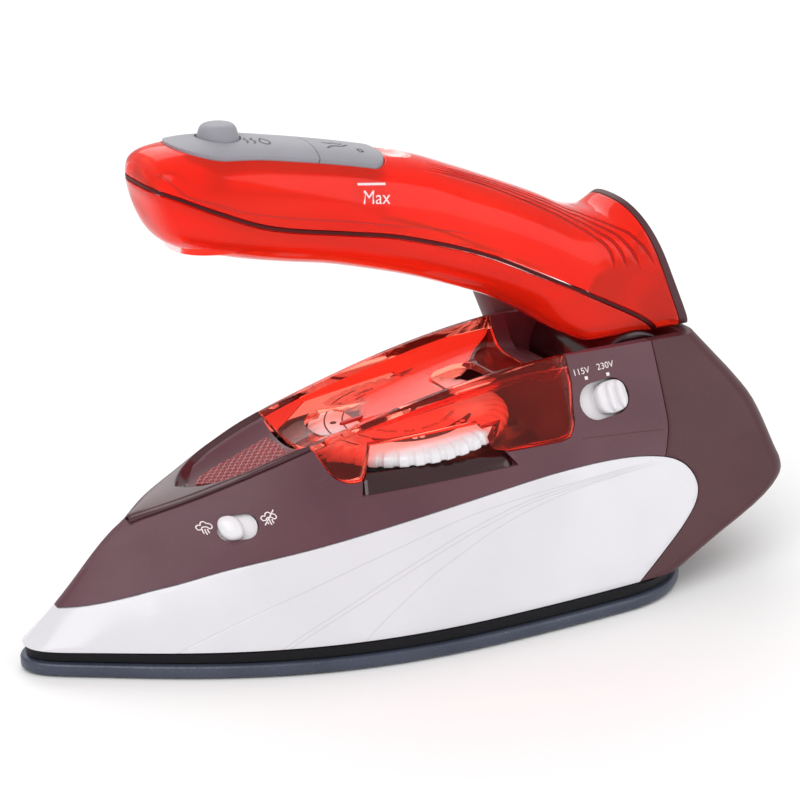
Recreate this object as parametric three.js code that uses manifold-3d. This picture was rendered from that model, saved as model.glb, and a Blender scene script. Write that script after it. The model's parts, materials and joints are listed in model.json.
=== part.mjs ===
// A folding-handle travel steam iron, built as separate, closed solids.
// Units are millimetres. The soleplate face is z = 0, the nose points to -X, the heel to +X,
// and the model is symmetric about y = 0 except for the two sliders and the cord gland.
import * as THREE from 'three';
import { mergeVertices } from 'three/addons/utils/BufferGeometryUtils.js';
import Module from 'manifold-3d';

const wasm = await Module();
wasm.setup();

// ---------------------------------------------------------------- driving dimensions
const GAP = 0.3;                    // air between neighbouring pieces

const SOLE_LENGTH = 180;
const SOLE_HALF_WIDTH = 44.9;
const SOLE_THICKNESS = 3.2;
const CASTING_TOP = 11;             // raised middle of the soleplate casting
const SHIELD_TOP = 5.9;             // black heat shield between soleplate and skirt

const BODY_BOTTOM = 6.2;
const BODY_TOP = 62;                // top of the two wings beside the handle
const BODY_NOSE = -89.4;
const BODY_HALF_WIDTH = 42.6;
const WALL = 2.2;
const WALL_BULGE = 1.8;

const DECK_SEAM = -18;              // between the nose deck and the dial cover
const COVER_REAR = 52;              // between the dial cover and the housing
const HEEL_SEAM = 77.7;             // between the housing and the rear cover
const VALLEY_SHEET = 1.8;           // wall of the dial cover and the deck
const VALLEY_START = -59;

const HINGE_X = 75;
const HINGE_Z = 52;
const DRUM_RADIUS = 11.7;
const DRUM_HALF_LENGTH = 16.2;
const WELL_RADIUS = 13.2;
const WELL_HALF_WIDTH = 17.5;
const PIN_RADIUS = 3.6;

const LAMP_X = -27;
const DIAL_X = 16.8;
const DIAL_TOP = 46.9;
const DIAL_RADIUS = 25.8;
const DIAL_THICKNESS = 3.6;
const DIAL_HUB = 7;
const DIAL_TILT = THREE.MathUtils.degToRad(6.6);
const DIAL_KNURLS = 40;

const HANDLE_WALL = 2.2;
const SEAM_HALF = 0.7;              // half of the slot for the gasket between the handle shells
const PAD_PROUD = 0.6;
const PAD_FRONT = -47.5;
const PAD_REAR = 7;
const FLAP_SEAM = -12.5;
const BUTTON_X = -34.5;
const BUTTON_RADIUS = 5.3;
const BUTTON_TOP = 128.9;

// ---------------------------------------------------------------- solids and shapes
function solidOf(geometry) {
  const bare = geometry.index ? geometry.clone() : geometry;
  bare.deleteAttribute('normal');
  bare.deleteAttribute('uv');
  const merged = mergeVertices(bare);
  const mesh = new wasm.Mesh({
    numProp: 3,
    vertProperties: new Float32Array(merged.attributes.position.array),
    triVerts: new Uint32Array(merged.index.array),
  });
  return new wasm.Manifold(mesh);
}

function geometryOf(solid) {
  const mesh = solid.getMesh();
  const geometry = new THREE.BufferGeometry();
  geometry.setAttribute('position', new THREE.BufferAttribute(mesh.vertProperties, 3));
  geometry.setIndex(new THREE.BufferAttribute(mesh.triVerts, 1));
  geometry.computeVertexNormals();
  return geometry;
}

const joined = (...solids) => solids.reduce((sum, next) => sum.add(next));
const cut = (solid, ...tools) => tools.reduce((rest, tool) => rest.subtract(tool), solid);

function box(x0, x1, y0, y1, z0, z1) {
  const geometry = new THREE.BoxGeometry(x1 - x0, y1 - y0, z1 - z0);
  geometry.translate((x0 + x1) / 2, (y0 + y1) / 2, (z0 + z1) / 2);
  return solidOf(geometry);
}

// A round bar from one point to another, with an optional second radius at its far end.
function rod(from, to, radius, sides = 20, farRadius = radius) {
  const start = new THREE.Vector3(...from);
  const reach = new THREE.Vector3(...to).sub(start);
  const geometry = new THREE.CylinderGeometry(farRadius, radius, reach.length(), sides);
  geometry.translate(0, reach.length() / 2, 0);
  const turn = new THREE.Quaternion().setFromUnitVectors(new THREE.Vector3(0, 1, 0), reach.normalize());
  geometry.applyQuaternion(turn);
  geometry.translate(...from);
  return solidOf(geometry);
}

// An outline in the plane of the length and the height, pushed out to both sides.
function sideways(points, yLow = -60, yHigh = 60) {
  const shape = new THREE.Shape(points.map(([x, z]) => new THREE.Vector2(x, z)));
  const geometry = new THREE.ExtrudeGeometry(shape, { depth: yHigh - yLow, bevelEnabled: false });
  geometry.rotateX(Math.PI / 2);
  geometry.translate(0, yHigh, 0);
  return solidOf(geometry);
}

// An outline seen from above, pushed up from one height to another.
function upwards(points, zLow, zHigh) {
  const shape = new THREE.Shape(points.map(([x, y]) => new THREE.Vector2(x, y)));
  const geometry = new THREE.ExtrudeGeometry(shape, { depth: zHigh - zLow, bevelEnabled: false });
  geometry.translate(0, 0, zLow);
  return solidOf(geometry);
}

function capFaces(ring) {
  const normal = new THREE.Vector3();
  ring.forEach((point, i) => normal.add(point.clone().cross(ring[(i + 1) % ring.length])));
  normal.normalize();
  const across = Math.abs(normal.x) < 0.9 ? new THREE.Vector3(1, 0, 0) : new THREE.Vector3(0, 1, 0);
  const u = across.cross(normal).normalize();
  const v = normal.clone().cross(u);
  const flat = ring.map((point) => new THREE.Vector2(point.dot(u), point.dot(v)));
  const faces = THREE.ShapeUtils.triangulateShape(flat, []);
  return faces.map(([a, b, c]) => {
    const turn = flat[b].clone().sub(flat[a]).cross(flat[c].clone().sub(flat[a]));
    return turn > 0 ? [a, b, c] : [a, c, b];
  });
}

// A closed skin through rings of Vector3 that all have the same number of points.
function loft(rings) {
  const count = rings[0].length;
  const points = rings.flat();
  let faces = capFaces(rings[0]).map(([a, b, c]) => [a, c, b]);
  for (let r = 0; r + 1 < rings.length; r += 1) {
    for (let i = 0; i < count; i += 1) {
      const a = r * count + i;
      const b = r * count + (i + 1) % count;
      faces.push([a, b, b + count], [a, b + count, a + count]);
    }
  }
  const last = (rings.length - 1) * count;
  faces.push(...capFaces(rings[rings.length - 1]).map((face) => face.map((i) => i + last)));
  const volume = faces.reduce((sum, [a, b, c]) => sum + points[a].dot(points[b].clone().cross(points[c])), 0);
  if (volume < 0) faces = faces.map(([a, b, c]) => [a, c, b]);
  const geometry = new THREE.BufferGeometry();
  const numbers = points.flatMap((point) => point.toArray());
  geometry.setAttribute('position', new THREE.Float32BufferAttribute(numbers, 3));
  geometry.setIndex(faces.flat());
  return solidOf(geometry);
}

// A smooth line through a few points, as a list of [a, b] pairs.
function smoothLine(knots, steps) {
  const curve = new THREE.SplineCurve(knots.map(([a, b]) => new THREE.Vector2(a, b)));
  return curve.getPoints(steps).map((point) => [point.x, point.y]);
}

// The same line moved to its left by a distance.
function shifted(line, distance) {
  return line.map(([a, b], i) => {
    const before = line[Math.max(i - 1, 0)];
    const after = line[Math.min(i + 1, line.length - 1)];
    const length = Math.hypot(after[0] - before[0], after[1] - before[1]);
    return [a - distance * (after[1] - before[1]) / length, b + distance * (after[0] - before[0]) / length];
  });
}

// Straight-line interpolation in a short table of [x, value] knots.
function valueAt(knots, x) {
  if (x <= knots[0][0]) return knots[0][1];
  for (let i = 1; i < knots.length; i += 1) {
    const [x0, v0] = knots[i - 1];
    const [x1, v1] = knots[i];
    if (x <= x1) return v0 + (v1 - v0) * (x - x0) / (x1 - x0);
  }
  return knots[knots.length - 1][1];
}

// ---------------------------------------------------------------- looks
const LOOKS = {
  aluminium: { color: 0x9a9ca2, roughness: 0.45, metalness: 0.8 },
  soleCoating: { color: 0x4b5264, roughness: 0.4, metalness: 0.3 },
  blackPhenolic: { color: 0x16161a, roughness: 0.6, metalness: 0 },
  white: { color: 0xeae9ee, roughness: 0.22, metalness: 0 },
  aubergine: { color: 0x644650, roughness: 0.4, metalness: 0 },
  darkGloss: { color: 0x2a1518, roughness: 0.12, metalness: 0 },
  redClear: { color: 0xe02014, roughness: 0.08, metalness: 0 },
  lens: { color: 0xad5d63, roughness: 0.25, metalness: 0 },
  softGrey: { color: 0x969aa2, roughness: 0.6, metalness: 0 },
  steel: { color: 0xb8babd, roughness: 0.3, metalness: 1 },
  brass: { color: 0xb08d4a, roughness: 0.35, metalness: 1 },
  ceramic: { color: 0xd9d2c4, roughness: 0.7, metalness: 0 },
  natural: { color: 0xd6d3cc, roughness: 0.5, metalness: 0 },
  silicone: { color: 0x3a1412, roughness: 0.5, metalness: 0 },
};

const iron = new THREE.Group();
const base = new THREE.Group();
const handle = new THREE.Group();
iron.add(base, handle);

function part(name, solid, look, parent = base) {
  const mesh = new THREE.Mesh(geometryOf(solid), new THREE.MeshStandardMaterial(LOOKS[look]));
  mesh.name = name;
  parent.add(mesh);
}

// ---------------------------------------------------------------- soleplate outline
// Half the width at a distance from the tip: a blunt tip, a full belly and a slight taper
// towards the heel.
function leafHalfWidth(t, widest) {
  const run = Math.max(t, 0);
  const belly = widest * (1 - (1 - Math.min(run / 115, 1)) ** 2.386);
  const blunt = 13 * run * Math.exp(-run / 9);
  const taper = 3.5 * THREE.MathUtils.clamp((run - 115) / 65, 0, 1) ** 2;
  return Math.sqrt(belly * belly + blunt) - taper;
}

function soleHalfWidth(x, inset) {
  const t = x + SOLE_LENGTH / 2;
  const k = THREE.MathUtils.clamp((t - (SOLE_LENGTH - 34.4)) / 34.4, 0, 1);
  return Math.max(leafHalfWidth(t, SOLE_HALF_WIDTH) * Math.sqrt(1 - k ** 2.6) - inset, 0);
}

function soleOutline(inset = 0, steps = 24) {
  const front = -SOLE_LENGTH / 2 + inset * 1.3;
  const rear = SOLE_LENGTH / 2 - inset;
  const side = [];
  for (let i = 1; i < steps; i += 1) {
    const x = front + (rear - front) * (1 - Math.cos(Math.PI * i / steps)) / 2;
    side.push([x, soleHalfWidth(x, inset)]);
  }
  const kept = side.filter(([, y]) => y > 0.5);
  const mirrored = kept.map(([x, y]) => [x, -y]).reverse();
  return [[front, 0], ...kept.map(([x, y]) => [x, -y]), [rear, 0], ...mirrored.map(([x, y]) => [x, -y])];
}

// ---------------------------------------------------------------- body hull
// Height and half-width of the ridge that runs up from the nose to the wings.
const RIDGE_HEIGHT = [
  [-89.4, 6.2], [-80.4, 15.1], [-61.5, 33.4], [-43.8, 40.3], [-21.6, 47.9], [3.1, 54.4],
  [22, 58.4], [39.8, 61], [52, BODY_TOP],
];
const RIDGE_HALF = [[-61.5, 1], [-54.4, 5], [-43.8, 8.8], [-33, 12], [-21.6, 14.1], [3.1, 15.9],
  [22, 17.1], [39.8, 18.2], [52, 19], [78, 20], [92, 20.6]];
const HEEL_FLAT = [[29, 112.9], [43, 107.5]];    // the flat that the iron can be stood on
const HEEL_LINE = [
  [3.5, 79.2], [22.4, 113.2], [24.6, 114.2], [27, 113.8], ...HEEL_FLAT, [50, 102.6], [56, 97.6],
  [BODY_TOP, 92.6],
];
const HEEL_CORNER = [[BODY_BOTTOM, 16], [28.5, 7], [BODY_TOP, 5]];
const VALLEY_FLOOR = [
  [-60, 33.5], [-52, 35.9], [-42.7, 38.3], [-30, 41.4], [-19.8, 44.3], [-12.9, 46.4], [3, 48.6], [24.6, 52.6],
  [39.8, 54.8], [46, 55.4], [51, 54.6], [58, 52.6],
];

// Half-width of the outer wall: ruled from the skirt's lower edge to the ridge, with a soft bulge.
function wallHalfWidth(x, z) {
  const foot = leafHalfWidth(x - BODY_NOSE, BODY_HALF_WIDTH);
  const rise = Math.max(valueAt(RIDGE_HEIGHT, x) - BODY_BOTTOM, 1);
  const s = (z - BODY_BOTTOM) / rise;
  const soft = 4 * WALL_BULGE * Math.max(s * (1 - s), 0);
  return Math.max(foot * (1 - s) + valueAt(RIDGE_HALF, x) * s + soft * Math.min(1, foot / 20), 0.5);
}

// The length position at which the ridge reaches a height.
function ridgeStart(z) {
  return valueAt(RIDGE_HEIGHT.map(([x, height]) => [height, x]), z);
}

function hullRing(z, inset, sideSteps, cornerSteps) {
  const level = Math.max(z, BODY_BOTTOM);
  const front = ridgeStart(level) + 1.6 * inset + 0.02;
  const rear = valueAt(HEEL_LINE, level) - inset;
  const corner = valueAt(HEEL_CORNER, level);
  const side = [];
  for (let i = 0; i <= sideSteps; i += 1) {
    const x = front + (rear - corner - front) * (i / sideSteps) ** 1.25;
    side.push([x, Math.max(wallHalfWidth(x, level) - inset, 0.4)]);
  }
  for (let i = 1; i <= cornerSteps; i += 1) {
    const angle = (Math.PI / 2) * (i / cornerSteps);
    const x = rear - corner + corner * Math.sin(angle);
    const width = wallHalfWidth(x, level) - inset;
    side.push([x, width - corner * (1 - Math.cos(angle))]);
  }
  const near = side.map(([x, y]) => new THREE.Vector3(x, -y, z));
  const far = side.map(([x, y]) => new THREE.Vector3(x, y, z)).reverse();
  return [...near, ...far];
}

const OUTER_LEVELS = [6.2, 10, 15.1, 22.4, 24.6, 27, 29, 33, 39.8, 43, 47.9, 50, 54.4, 58.4, BODY_TOP];
const INNER_LEVELS = [4, 6.2, 22.4, 27, 33, 43, 50, 58.4];
const outerHull = loft(OUTER_LEVELS.map((z) => hullRing(z, 0, 15, 3)));
const innerHull = loft(INNER_LEVELS.map((z) => hullRing(z, WALL, 9, 1)));

// The trough between the ridges, where the folded handle lies.
function valleyRings(from, to, drop, spread, top) {
  const rings = [];
  const stations = [from, ...VALLEY_FLOOR.map(([x]) => x).filter((x) => x > from + 1 && x < to - 1), to];
  for (const x of stations) {
    const floor = valueAt(VALLEY_FLOOR, x) - drop;
    const crest = valueAt(RIDGE_HEIGHT, x) - drop;
    const half = Math.max(valueAt(RIDGE_HALF, x) - 1.3 + spread, 0.3);
    const steep = valueAt([[-20, 2], [20, 2.6], [44, 6]], x);
    const ring = [-1, -0.85, -0.5, 0, 0.5, 0.85, 1].map((share) => (
      new THREE.Vector3(x, half * share, floor + (crest - floor) * Math.abs(share) ** steep)
    ));
    ring.push(new THREE.Vector3(x, half + 0.01, top), new THREE.Vector3(x, -half - 0.01, top));
    rings.push(ring);
  }
  return rings;
}

const valley = loft(valleyRings(VALLEY_START, 58, 0, 0, 75));

// ---------------------------------------------------------------- how the hull is split
const SKIRT_KNOTS = [
  [-96, 12.3], [-80.5, 14.5], [-63.2, 18.8], [-42, 24.3], [-12.3, 29.1], [20.3, 33.5], [44, 36.0],
  [61.4, 36.3], [73.9, 34.7], [80.5, 31.8], [83.5, 27], [82.6, 22.5], [77.9, 17.6], [70.2, 12], [60.6, 5.5],
];
const skirtLine = smoothLine(SKIRT_KNOTS, 28);
const underSkirt = [[60, -1], [-96, -1]];
const skirtRegion = sideways([...skirtLine, ...underSkirt]);
const skirtRegionWide = sideways([...shifted(skirtLine, GAP), [61, -1], [-97, -1]]);

const heelSeam = (x) => [[x, 75], [x, 43], [x - 1.1, 38.5], [x - 3.7, 33], [56, 20], [56, -1]];
const heelRegion = sideways([...heelSeam(HEEL_SEAM + GAP), [125, -1], [125, 75]]);
const heelRegionWide = sideways([...heelSeam(HEEL_SEAM), [125, -1], [125, 75]]);

// The dial cover's lower edge, from the front lobe over the thumb cut-out to the rear panel.
const coverEdge = [
  ...smoothLine([[DECK_SEAM, 49], [-15.4, 43.2], [-12.6, 41], [-8.8, 40.8], [-6.9, 42.6], [-4, 48]], 10),
  [24.8, 49.8], [27.2, 43.6], [31, 42.9], [45.9, 43.1],
  ...smoothLine([[48.4, 43.7], [50.2, 46.4], [COVER_REAR - 1.2, 50], [COVER_REAR, 56]], 6),
];
const coverRegion = sideways([...coverEdge, [COVER_REAR, 75], [DECK_SEAM, 75]]);
const coverRegionWide = sideways([
  [DECK_SEAM - GAP, 75], [DECK_SEAM - GAP, 49],
  ...shifted(coverEdge, -GAP).slice(1), [COVER_REAR + GAP, 56], [COVER_REAR + GAP, 75],
]);

// ---------------------------------------------------------------- hinge well
function wellProfile() {
  const arc = [];
  for (let i = 0; i <= 12; i += 1) {
    const angle = Math.PI + Math.PI * (i / 12);
    arc.push([HINGE_X + WELL_RADIUS * Math.cos(angle), HINGE_Z + WELL_RADIUS * Math.sin(angle)]);
  }
  return [[57, 75], [57, 53.2], ...arc, [HINGE_X + WELL_RADIUS, 75]];
}
const well = sideways(wellProfile(), -WELL_HALF_WIDTH, WELL_HALF_WIDTH);
const wellBlock = box(COVER_REAR + GAP, 92, -WELL_HALF_WIDTH - 2, WELL_HALF_WIDTH + 2, 36.5, 75);
const pinHole = rod([HINGE_X, -22, HINGE_Z], [HINGE_X, 22, HINGE_Z], PIN_RADIUS + GAP);

// ---------------------------------------------------------------- controls in the side wall
// A local frame on the near wall: u runs towards the heel, v up the wall, n out of it.
function wallFrame(x, z) {
  const slopeX = (wallHalfWidth(x + 1, z) - wallHalfWidth(x - 1, z)) / 2;
  const slopeZ = (wallHalfWidth(x, z + 1) - wallHalfWidth(x, z - 1)) / 2;
  const n = new THREE.Vector3(-slopeX, -1, -slopeZ).normalize();
  const u = new THREE.Vector3(1, -slopeX, 0).normalize();
  const v = n.clone().cross(u);
  return new THREE.Matrix4().makeBasis(u, v, n).setPosition(x, -wallHalfWidth(x, z), z);
}

// A bar with round ends, lying on the wall between two depths. middle is its place along u.
function stadium(frame, middle, length, height, depthLow, depthHigh, turn = 0) {
  const shape = new THREE.Shape();
  const r = height / 2;
  const straight = Math.max(length / 2 - r, 0.05);
  shape.absarc(straight, 0, r, -Math.PI / 2, Math.PI / 2);
  shape.absarc(-straight, 0, r, Math.PI / 2, Math.PI * 1.5);
  const geometry = new THREE.ExtrudeGeometry(shape, {
    depth: depthHigh - depthLow, bevelEnabled: false, curveSegments: 8,
  });
  geometry.translate(middle, 0, depthLow);
  geometry.rotateZ(turn);
  geometry.applyMatrix4(frame);
  return solidOf(geometry);
}

const STEAM_TRAVEL = 3.8;
const steamFrame = wallFrame(-39.6, 33);
const steamTurn = 0.12;
const STEAM_KNOB = -1.9;             // the knob's place in its slot, steam on
const steamCuts = joined(
  stadium(steamFrame, 0, 10.2, 6.4, -8, 8, steamTurn),
  stadium(steamFrame, 0, 10.2 + 2 * STEAM_TRAVEL, 8, -8, -1.3, steamTurn),
);

const voltFrame = wallFrame(60.6, 50.8);
const voltTurn = 0.1;
const VOLT_KNOB = 2.6;               // the knob's place in its slot, at the higher voltage
const voltCuts = joined(
  stadium(voltFrame, 0, 14.8, 9.6, -6, 8, voltTurn),
  stadium(voltFrame, -1.3, 23.6, 11.4, -6, -1.9, voltTurn),
);

// ---------------------------------------------------------------- base: housings
const cavity = cut(innerHull, wellBlock);
const frontRoof = loft(valleyRings(-56, DECK_SEAM - GAP, VALLEY_SHEET + 2, 1.3, 75));
const roofOverNose = frontRoof.subtract(box(-120, -90, -50, 50, 0, 80));
const noseCavity = cavity.subtract(roofOverNose);
const shell = cut(outerHull, valley, well, pinHole);

const skirt = cut(shell.intersect(skirtRegion), noseCavity);
part('white_skirt', skirt, 'white');

// Tray under the dial, which is also the floor of the finger notch below the dial's edge.
const TRAY_TOP = 35.8;
const tray = cut(
  outerHull.intersect(box(DECK_SEAM + 2, COVER_REAR, -60, 60, TRAY_TOP - 2, TRAY_TOP)),
  skirtRegionWide,
  rod([DIAL_X + 3, 0, 30], [DIAL_X + 3, 0, 40], 6),
);
const notchProfile = [[-9.2, 37.5], [32.7, 39.4], [28.4, 45], [25.8, 51], [-4.6, 51], [-7, 44.5]];
const notch = joined(
  sideways(notchProfile, -60, -19.5), sideways(notchProfile, 19.5, 60),
  sideways([[-8.2, 40], [31, 40], [25.8, 51], [-4.6, 51]]),
);

const deckSeat = loft(valleyRings(VALLEY_START, DECK_SEAM + 0.1, VALLEY_SHEET + GAP, 0, 75));
const housingShell = cut(
  shell, noseCavity, skirtRegionWide, heelRegionWide, coverRegionWide, deckSeat, notch,
  rod([LAMP_X, 0, 30], [LAMP_X, 0, 60], 3, 14),
);
const housing = cut(joined(housingShell, tray.subtract(heelRegionWide)), steamCuts, voltCuts);
part('main_housing', housing, 'aubergine');

const REAR_SCREWS = [-20, 20].map((y) => [y, 31.5]);
const heelTilt = (HEEL_FLAT[0][1] - HEEL_FLAT[1][1]) / (HEEL_FLAT[1][0] - HEEL_FLAT[0][0]);
const heelNormal = new THREE.Vector3(1, 0, heelTilt).normalize();
const heelPoint = (y, z, out) => {
  const onFace = new THREE.Vector3(valueAt(HEEL_LINE, z), y, z);
  return onFace.addScaledVector(heelNormal, out).toArray();
};
const rearScrewHoles = REAR_SCREWS.map(([y, z]) => joined(
  rod(heelPoint(y, z, 3), heelPoint(y, z, -1.2), 3.6, 16),
  rod(heelPoint(y, z, 3), heelPoint(y, z, -6), 1.9, 12),
));
const rearCover = cut(shell.intersect(heelRegion), noseCavity, skirtRegionWide, ...rearScrewHoles);
part('rear_cover', rearCover, 'aubergine');

// ---------------------------------------------------------------- base: the dial's place
// The dial's own frame: origin at the middle of its top face, tilted towards the nose.
const dialFrame = new THREE.Matrix4().makeRotationY(-DIAL_TILT).setPosition(DIAL_X, 0, DIAL_TOP);
function inDialFrame(geometry) {
  geometry.applyMatrix4(dialFrame);
  return solidOf(geometry);
}

function dialDisc(radius, depthFrom, depthTo, sides) {
  const geometry = new THREE.CylinderGeometry(radius, radius, depthTo - depthFrom, sides);
  geometry.rotateX(Math.PI / 2);
  geometry.translate(0, 0, -(depthFrom + depthTo) / 2);
  return inDialFrame(geometry);
}

// ---------------------------------------------------------------- base: deck, lens and dial cover
const deck = loft(valleyRings(VALLEY_START + 0.5, DECK_SEAM - GAP, VALLEY_SHEET, -GAP, 74))
  .subtract(loft(valleyRings(VALLEY_START - 1, DECK_SEAM + 1, 0, 0.4, 76)));
const lensOutline = (grow) => [
  [-42.5 - 2 * grow, 0], [-40, -2.6 - grow], [-36, -4.6 - grow], [-30, -5.9 - grow], [-20.2 + grow, -6.9 - grow],
  [-20.2 + grow, 6.9 + grow], [-30, 5.9 + grow], [-36, 4.6 + grow], [-40, 2.6 + grow],
];
part('nose_deck', deck.subtract(upwards(lensOutline(GAP), 30, 60)), 'darkGloss');
const lens = deck.intersect(upwards(lensOutline(0), 30, 60));
part('lamp_lens', lens, 'lens');
part('indicator_lamp', rod([LAMP_X, 0, 33], [LAMP_X, 0, 38.6], 2.4, 14), 'lens');

function windowOutline(from, to, half, corner) {
  const points = [];
  for (const [cx, cy, start] of [[to - corner, half - corner, 0], [from + corner, half - corner, 1],
    [from + corner, corner - half, 2], [to - corner, corner - half, 3]]) {
    for (let i = 0; i <= 4; i += 1) {
      const angle = (Math.PI / 2) * (start + i / 4);
      points.push([cx + corner * Math.cos(angle), cy + corner * Math.sin(angle)]);
    }
  }
  return points;
}
const coverInside = cut(innerHull, loft(valleyRings(-56, 58, VALLEY_SHEET, 1.0, 75)));
const dialCover = cut(
  outerHull.intersect(coverRegion), valley, coverInside,
  upwards(windowOutline(-10.2, 1.3, 7.5, 4), 40, 70),
  upwards(windowOutline(26.5, 39.8, 8, 5), 44, 70),
  dialDisc(DIAL_RADIUS + 0.4, -0.5, DIAL_THICKNESS + 0.6, 40),
);
part('dial_cover', dialCover, 'redClear');

// ---------------------------------------------------------------- base: temperature dial
function knurledOutline(radius, depth) {
  const shape = new THREE.Shape();
  const steps = DIAL_KNURLS * 2;
  for (let i = 0; i < steps; i += 1) {
    const angle = 2 * Math.PI * i / steps;
    const r = i % 2 === 0 ? radius - depth : radius;
    if (i === 0) shape.moveTo(r, 0);
    else shape.lineTo(r * Math.cos(angle), r * Math.sin(angle));
  }
  shape.closePath();
  return shape;
}
const dialBlank = new THREE.ExtrudeGeometry(knurledOutline(DIAL_RADIUS, 0.6), {
  depth: DIAL_THICKNESS, bevelEnabled: false,
});
dialBlank.translate(0, 0, -DIAL_THICKNESS);
const dial = cut(
  joined(
    inDialFrame(dialBlank).subtract(dialDisc(DIAL_RADIUS - 2.4, 1.8, DIAL_THICKNESS + 1, 32)),
    dialDisc(5, 1, DIAL_HUB, 20),
  ),
  dialDisc(2.6, 2, DIAL_HUB + 1, 16),
);
part('temperature_dial', dial, 'white');

const alongDialAxis = (depth) => new THREE.Vector3(0, 0, -depth).applyMatrix4(dialFrame).toArray();
part('dial_shaft', rod(alongDialAxis(21), alongDialAxis(2.4), 2.3, 16), 'brass');

// ---------------------------------------------------------------- base: sole and heating
const STEAM_HOLES = [-48, -41, -34, -27].flatMap((x) => [-1, 1].map((side) => [x, side * (15 + x / 5)]));
const ELEMENT_HEIGHT = 9;
const ELEMENT_SIDE = [[70, 20], [30, 24], [-10, 20], [-40, 13], [-57, 6]];
const elementPath = new THREE.CatmullRomCurve3([
  ...ELEMENT_SIDE.map(([x, y]) => new THREE.Vector3(x, -y, ELEMENT_HEIGHT)),
  new THREE.Vector3(-61, 0, ELEMENT_HEIGHT),
  ...ELEMENT_SIDE.map(([x, y]) => new THREE.Vector3(x, y, ELEMENT_HEIGHT)).reverse(),
]);
function tube(path, radius, steps, sides = 8) {
  const section = new THREE.Shape();
  section.absarc(0, 0, radius, 0, Math.PI * 2);
  return solidOf(new THREE.ExtrudeGeometry(section, {
    steps, extrudePath: path, bevelEnabled: false, curveSegments: sides / 2,
  }));
}
const chamberOutline = (grow) => [[-53 - grow, 0], [-46, -7.5 - grow], [-24 + grow, -11 - grow],
  [-20 + grow, 0], [-24 + grow, 11 + grow], [-46, 7.5 + grow]];
const SOLE_SCREWS = { front: [-12, 0], left: [52, -12], right: [52, 12] };
const screwTaps = Object.values(SOLE_SCREWS).map(([x, y]) => rod([x, y, 4.6], [x, y, 13], 1.8, 10));
const sole = cut(
  joined(
    upwards(soleOutline(0), 0, SOLE_THICKNESS),
    upwards(soleOutline(13, 14), SOLE_THICKNESS - 0.5, CASTING_TOP),
  ),
  ...STEAM_HOLES.map(([x, y]) => rod([x, y, -1], [x, y, 7], 1.2, 8)),
  upwards(chamberOutline(0), 6, 12), tube(elementPath, 3.4, 26), ...screwTaps,
  box(69.5, 90, -24, -16, 5.2, 12), box(69.5, 90, 16, 24, 5.2, 12),
);
part('soleplate', sole, 'soleCoating');
part('heating_element', tube(elementPath, 3.0, 26), 'steel');
const shield = cut(
  upwards(soleOutline(1.3), SOLE_THICKNESS + GAP, SHIELD_TOP),
  upwards(soleOutline(12.4, 14), 0, 10),
);
part('heat_shield', shield, 'blackPhenolic');
const CHAMBER_COVER_TOP = CASTING_TOP + GAP + 1.2;
const VALVE_X = -34;
part('steam_chamber_cover', cut(
  upwards(chamberOutline(1.5), CASTING_TOP + GAP, CHAMBER_COVER_TOP),
  rod([VALVE_X, 0, 5], [VALVE_X, 0, 20], 1.2, 10),
), 'aluminium');
for (const [name, [x, y]] of Object.entries(SOLE_SCREWS)) {
  part(`sole_screw_${name}`, joined(
    rod([x, y, CASTING_TOP + GAP], [x, y, CASTING_TOP + 2.3], 3, 14),
    rod([x, y, 5], [x, y, CASTING_TOP + 1], 1.5, 10),
  ), 'steel');
}

// ---------------------------------------------------------------- base: thermostat and wiring
const castingSeat = CASTING_TOP + GAP;
part('thermostat', cut(box(10, 32, -9, 9, castingSeat, 24.6), box(14, 28, -20, 20, 16, 19)), 'ceramic');
part('thermal_fuse', rod([42, -6, 14.2], [42, 6, 14.2], 2.6, 12), 'ceramic');
part('terminal_block', cut(
  box(58, 72, -13, 13, castingSeat, 21),
  ...[-8, 0, 8].map((y) => rod([50, y, 16], [80, y, 16], 1.6, 8)),
), 'natural');
for (const [name, side] of [['element_lead_left', -1], ['element_lead_right', 1]]) {
  const lead = new THREE.CatmullRomCurve3([
    new THREE.Vector3(71, side * 20, 9), new THREE.Vector3(77, side * 19, 12),
    new THREE.Vector3(78, side * 12, 16), new THREE.Vector3(73, side * 8, 16),
  ]);
  part(name, tube(lead, 1.1, 8, 6), 'natural');
}

// ---------------------------------------------------------------- base: steam valve and sliders
part('steam_valve_seat', cut(
  rod([VALVE_X, 0, CHAMBER_COVER_TOP + GAP], [VALVE_X, 0, 24], 4.2, 16),
  rod([VALVE_X, 0, 5], [VALVE_X, 0, 25], 2.2, 12),
), 'brass');
part('steam_valve_rod', rod([VALVE_X, 0, CHAMBER_COVER_TOP + 2], [VALVE_X, 0, 28.6], 1.8, 12), 'brass');
part('steam_slider', joined(
  stadium(steamFrame, STEAM_KNOB, 9.8 + STEAM_TRAVEL, 7, -2.8, -1.6, steamTurn),
  stadium(steamFrame, STEAM_KNOB, 5.8, 5.8, -2.4, 2.4, steamTurn),
  rod([-39.5, -14, 31.6], [VALVE_X - 1, -1.5, 30.6], 1.1, 8),
), 'white');
part('voltage_slider', joined(
  stadium(voltFrame, 1.3, 17.8, 10.4, -3.7, -2.6, voltTurn),
  stadium(voltFrame, VOLT_KNOB, 8.9, 8.6, -3.2, 1.2, voltTurn),
), 'white');
part('voltage_switch', stadium(voltFrame, -1, 13, 5, -6, -4.1, voltTurn), 'blackPhenolic');

// ---------------------------------------------------------------- base: fixings and gland
for (const [[y, z], name] of REAR_SCREWS.map((place, i) => [place, ['left', 'right'][i]])) {
  part(`rear_cover_screw_${name}`, joined(
    rod(heelPoint(y, z, -0.9), heelPoint(y, z, -0.1), 3.2, 16),
    rod(heelPoint(y, z, -0.5), heelPoint(y, z, -9), 1.5, 10),
  ), 'steel');
}
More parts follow.
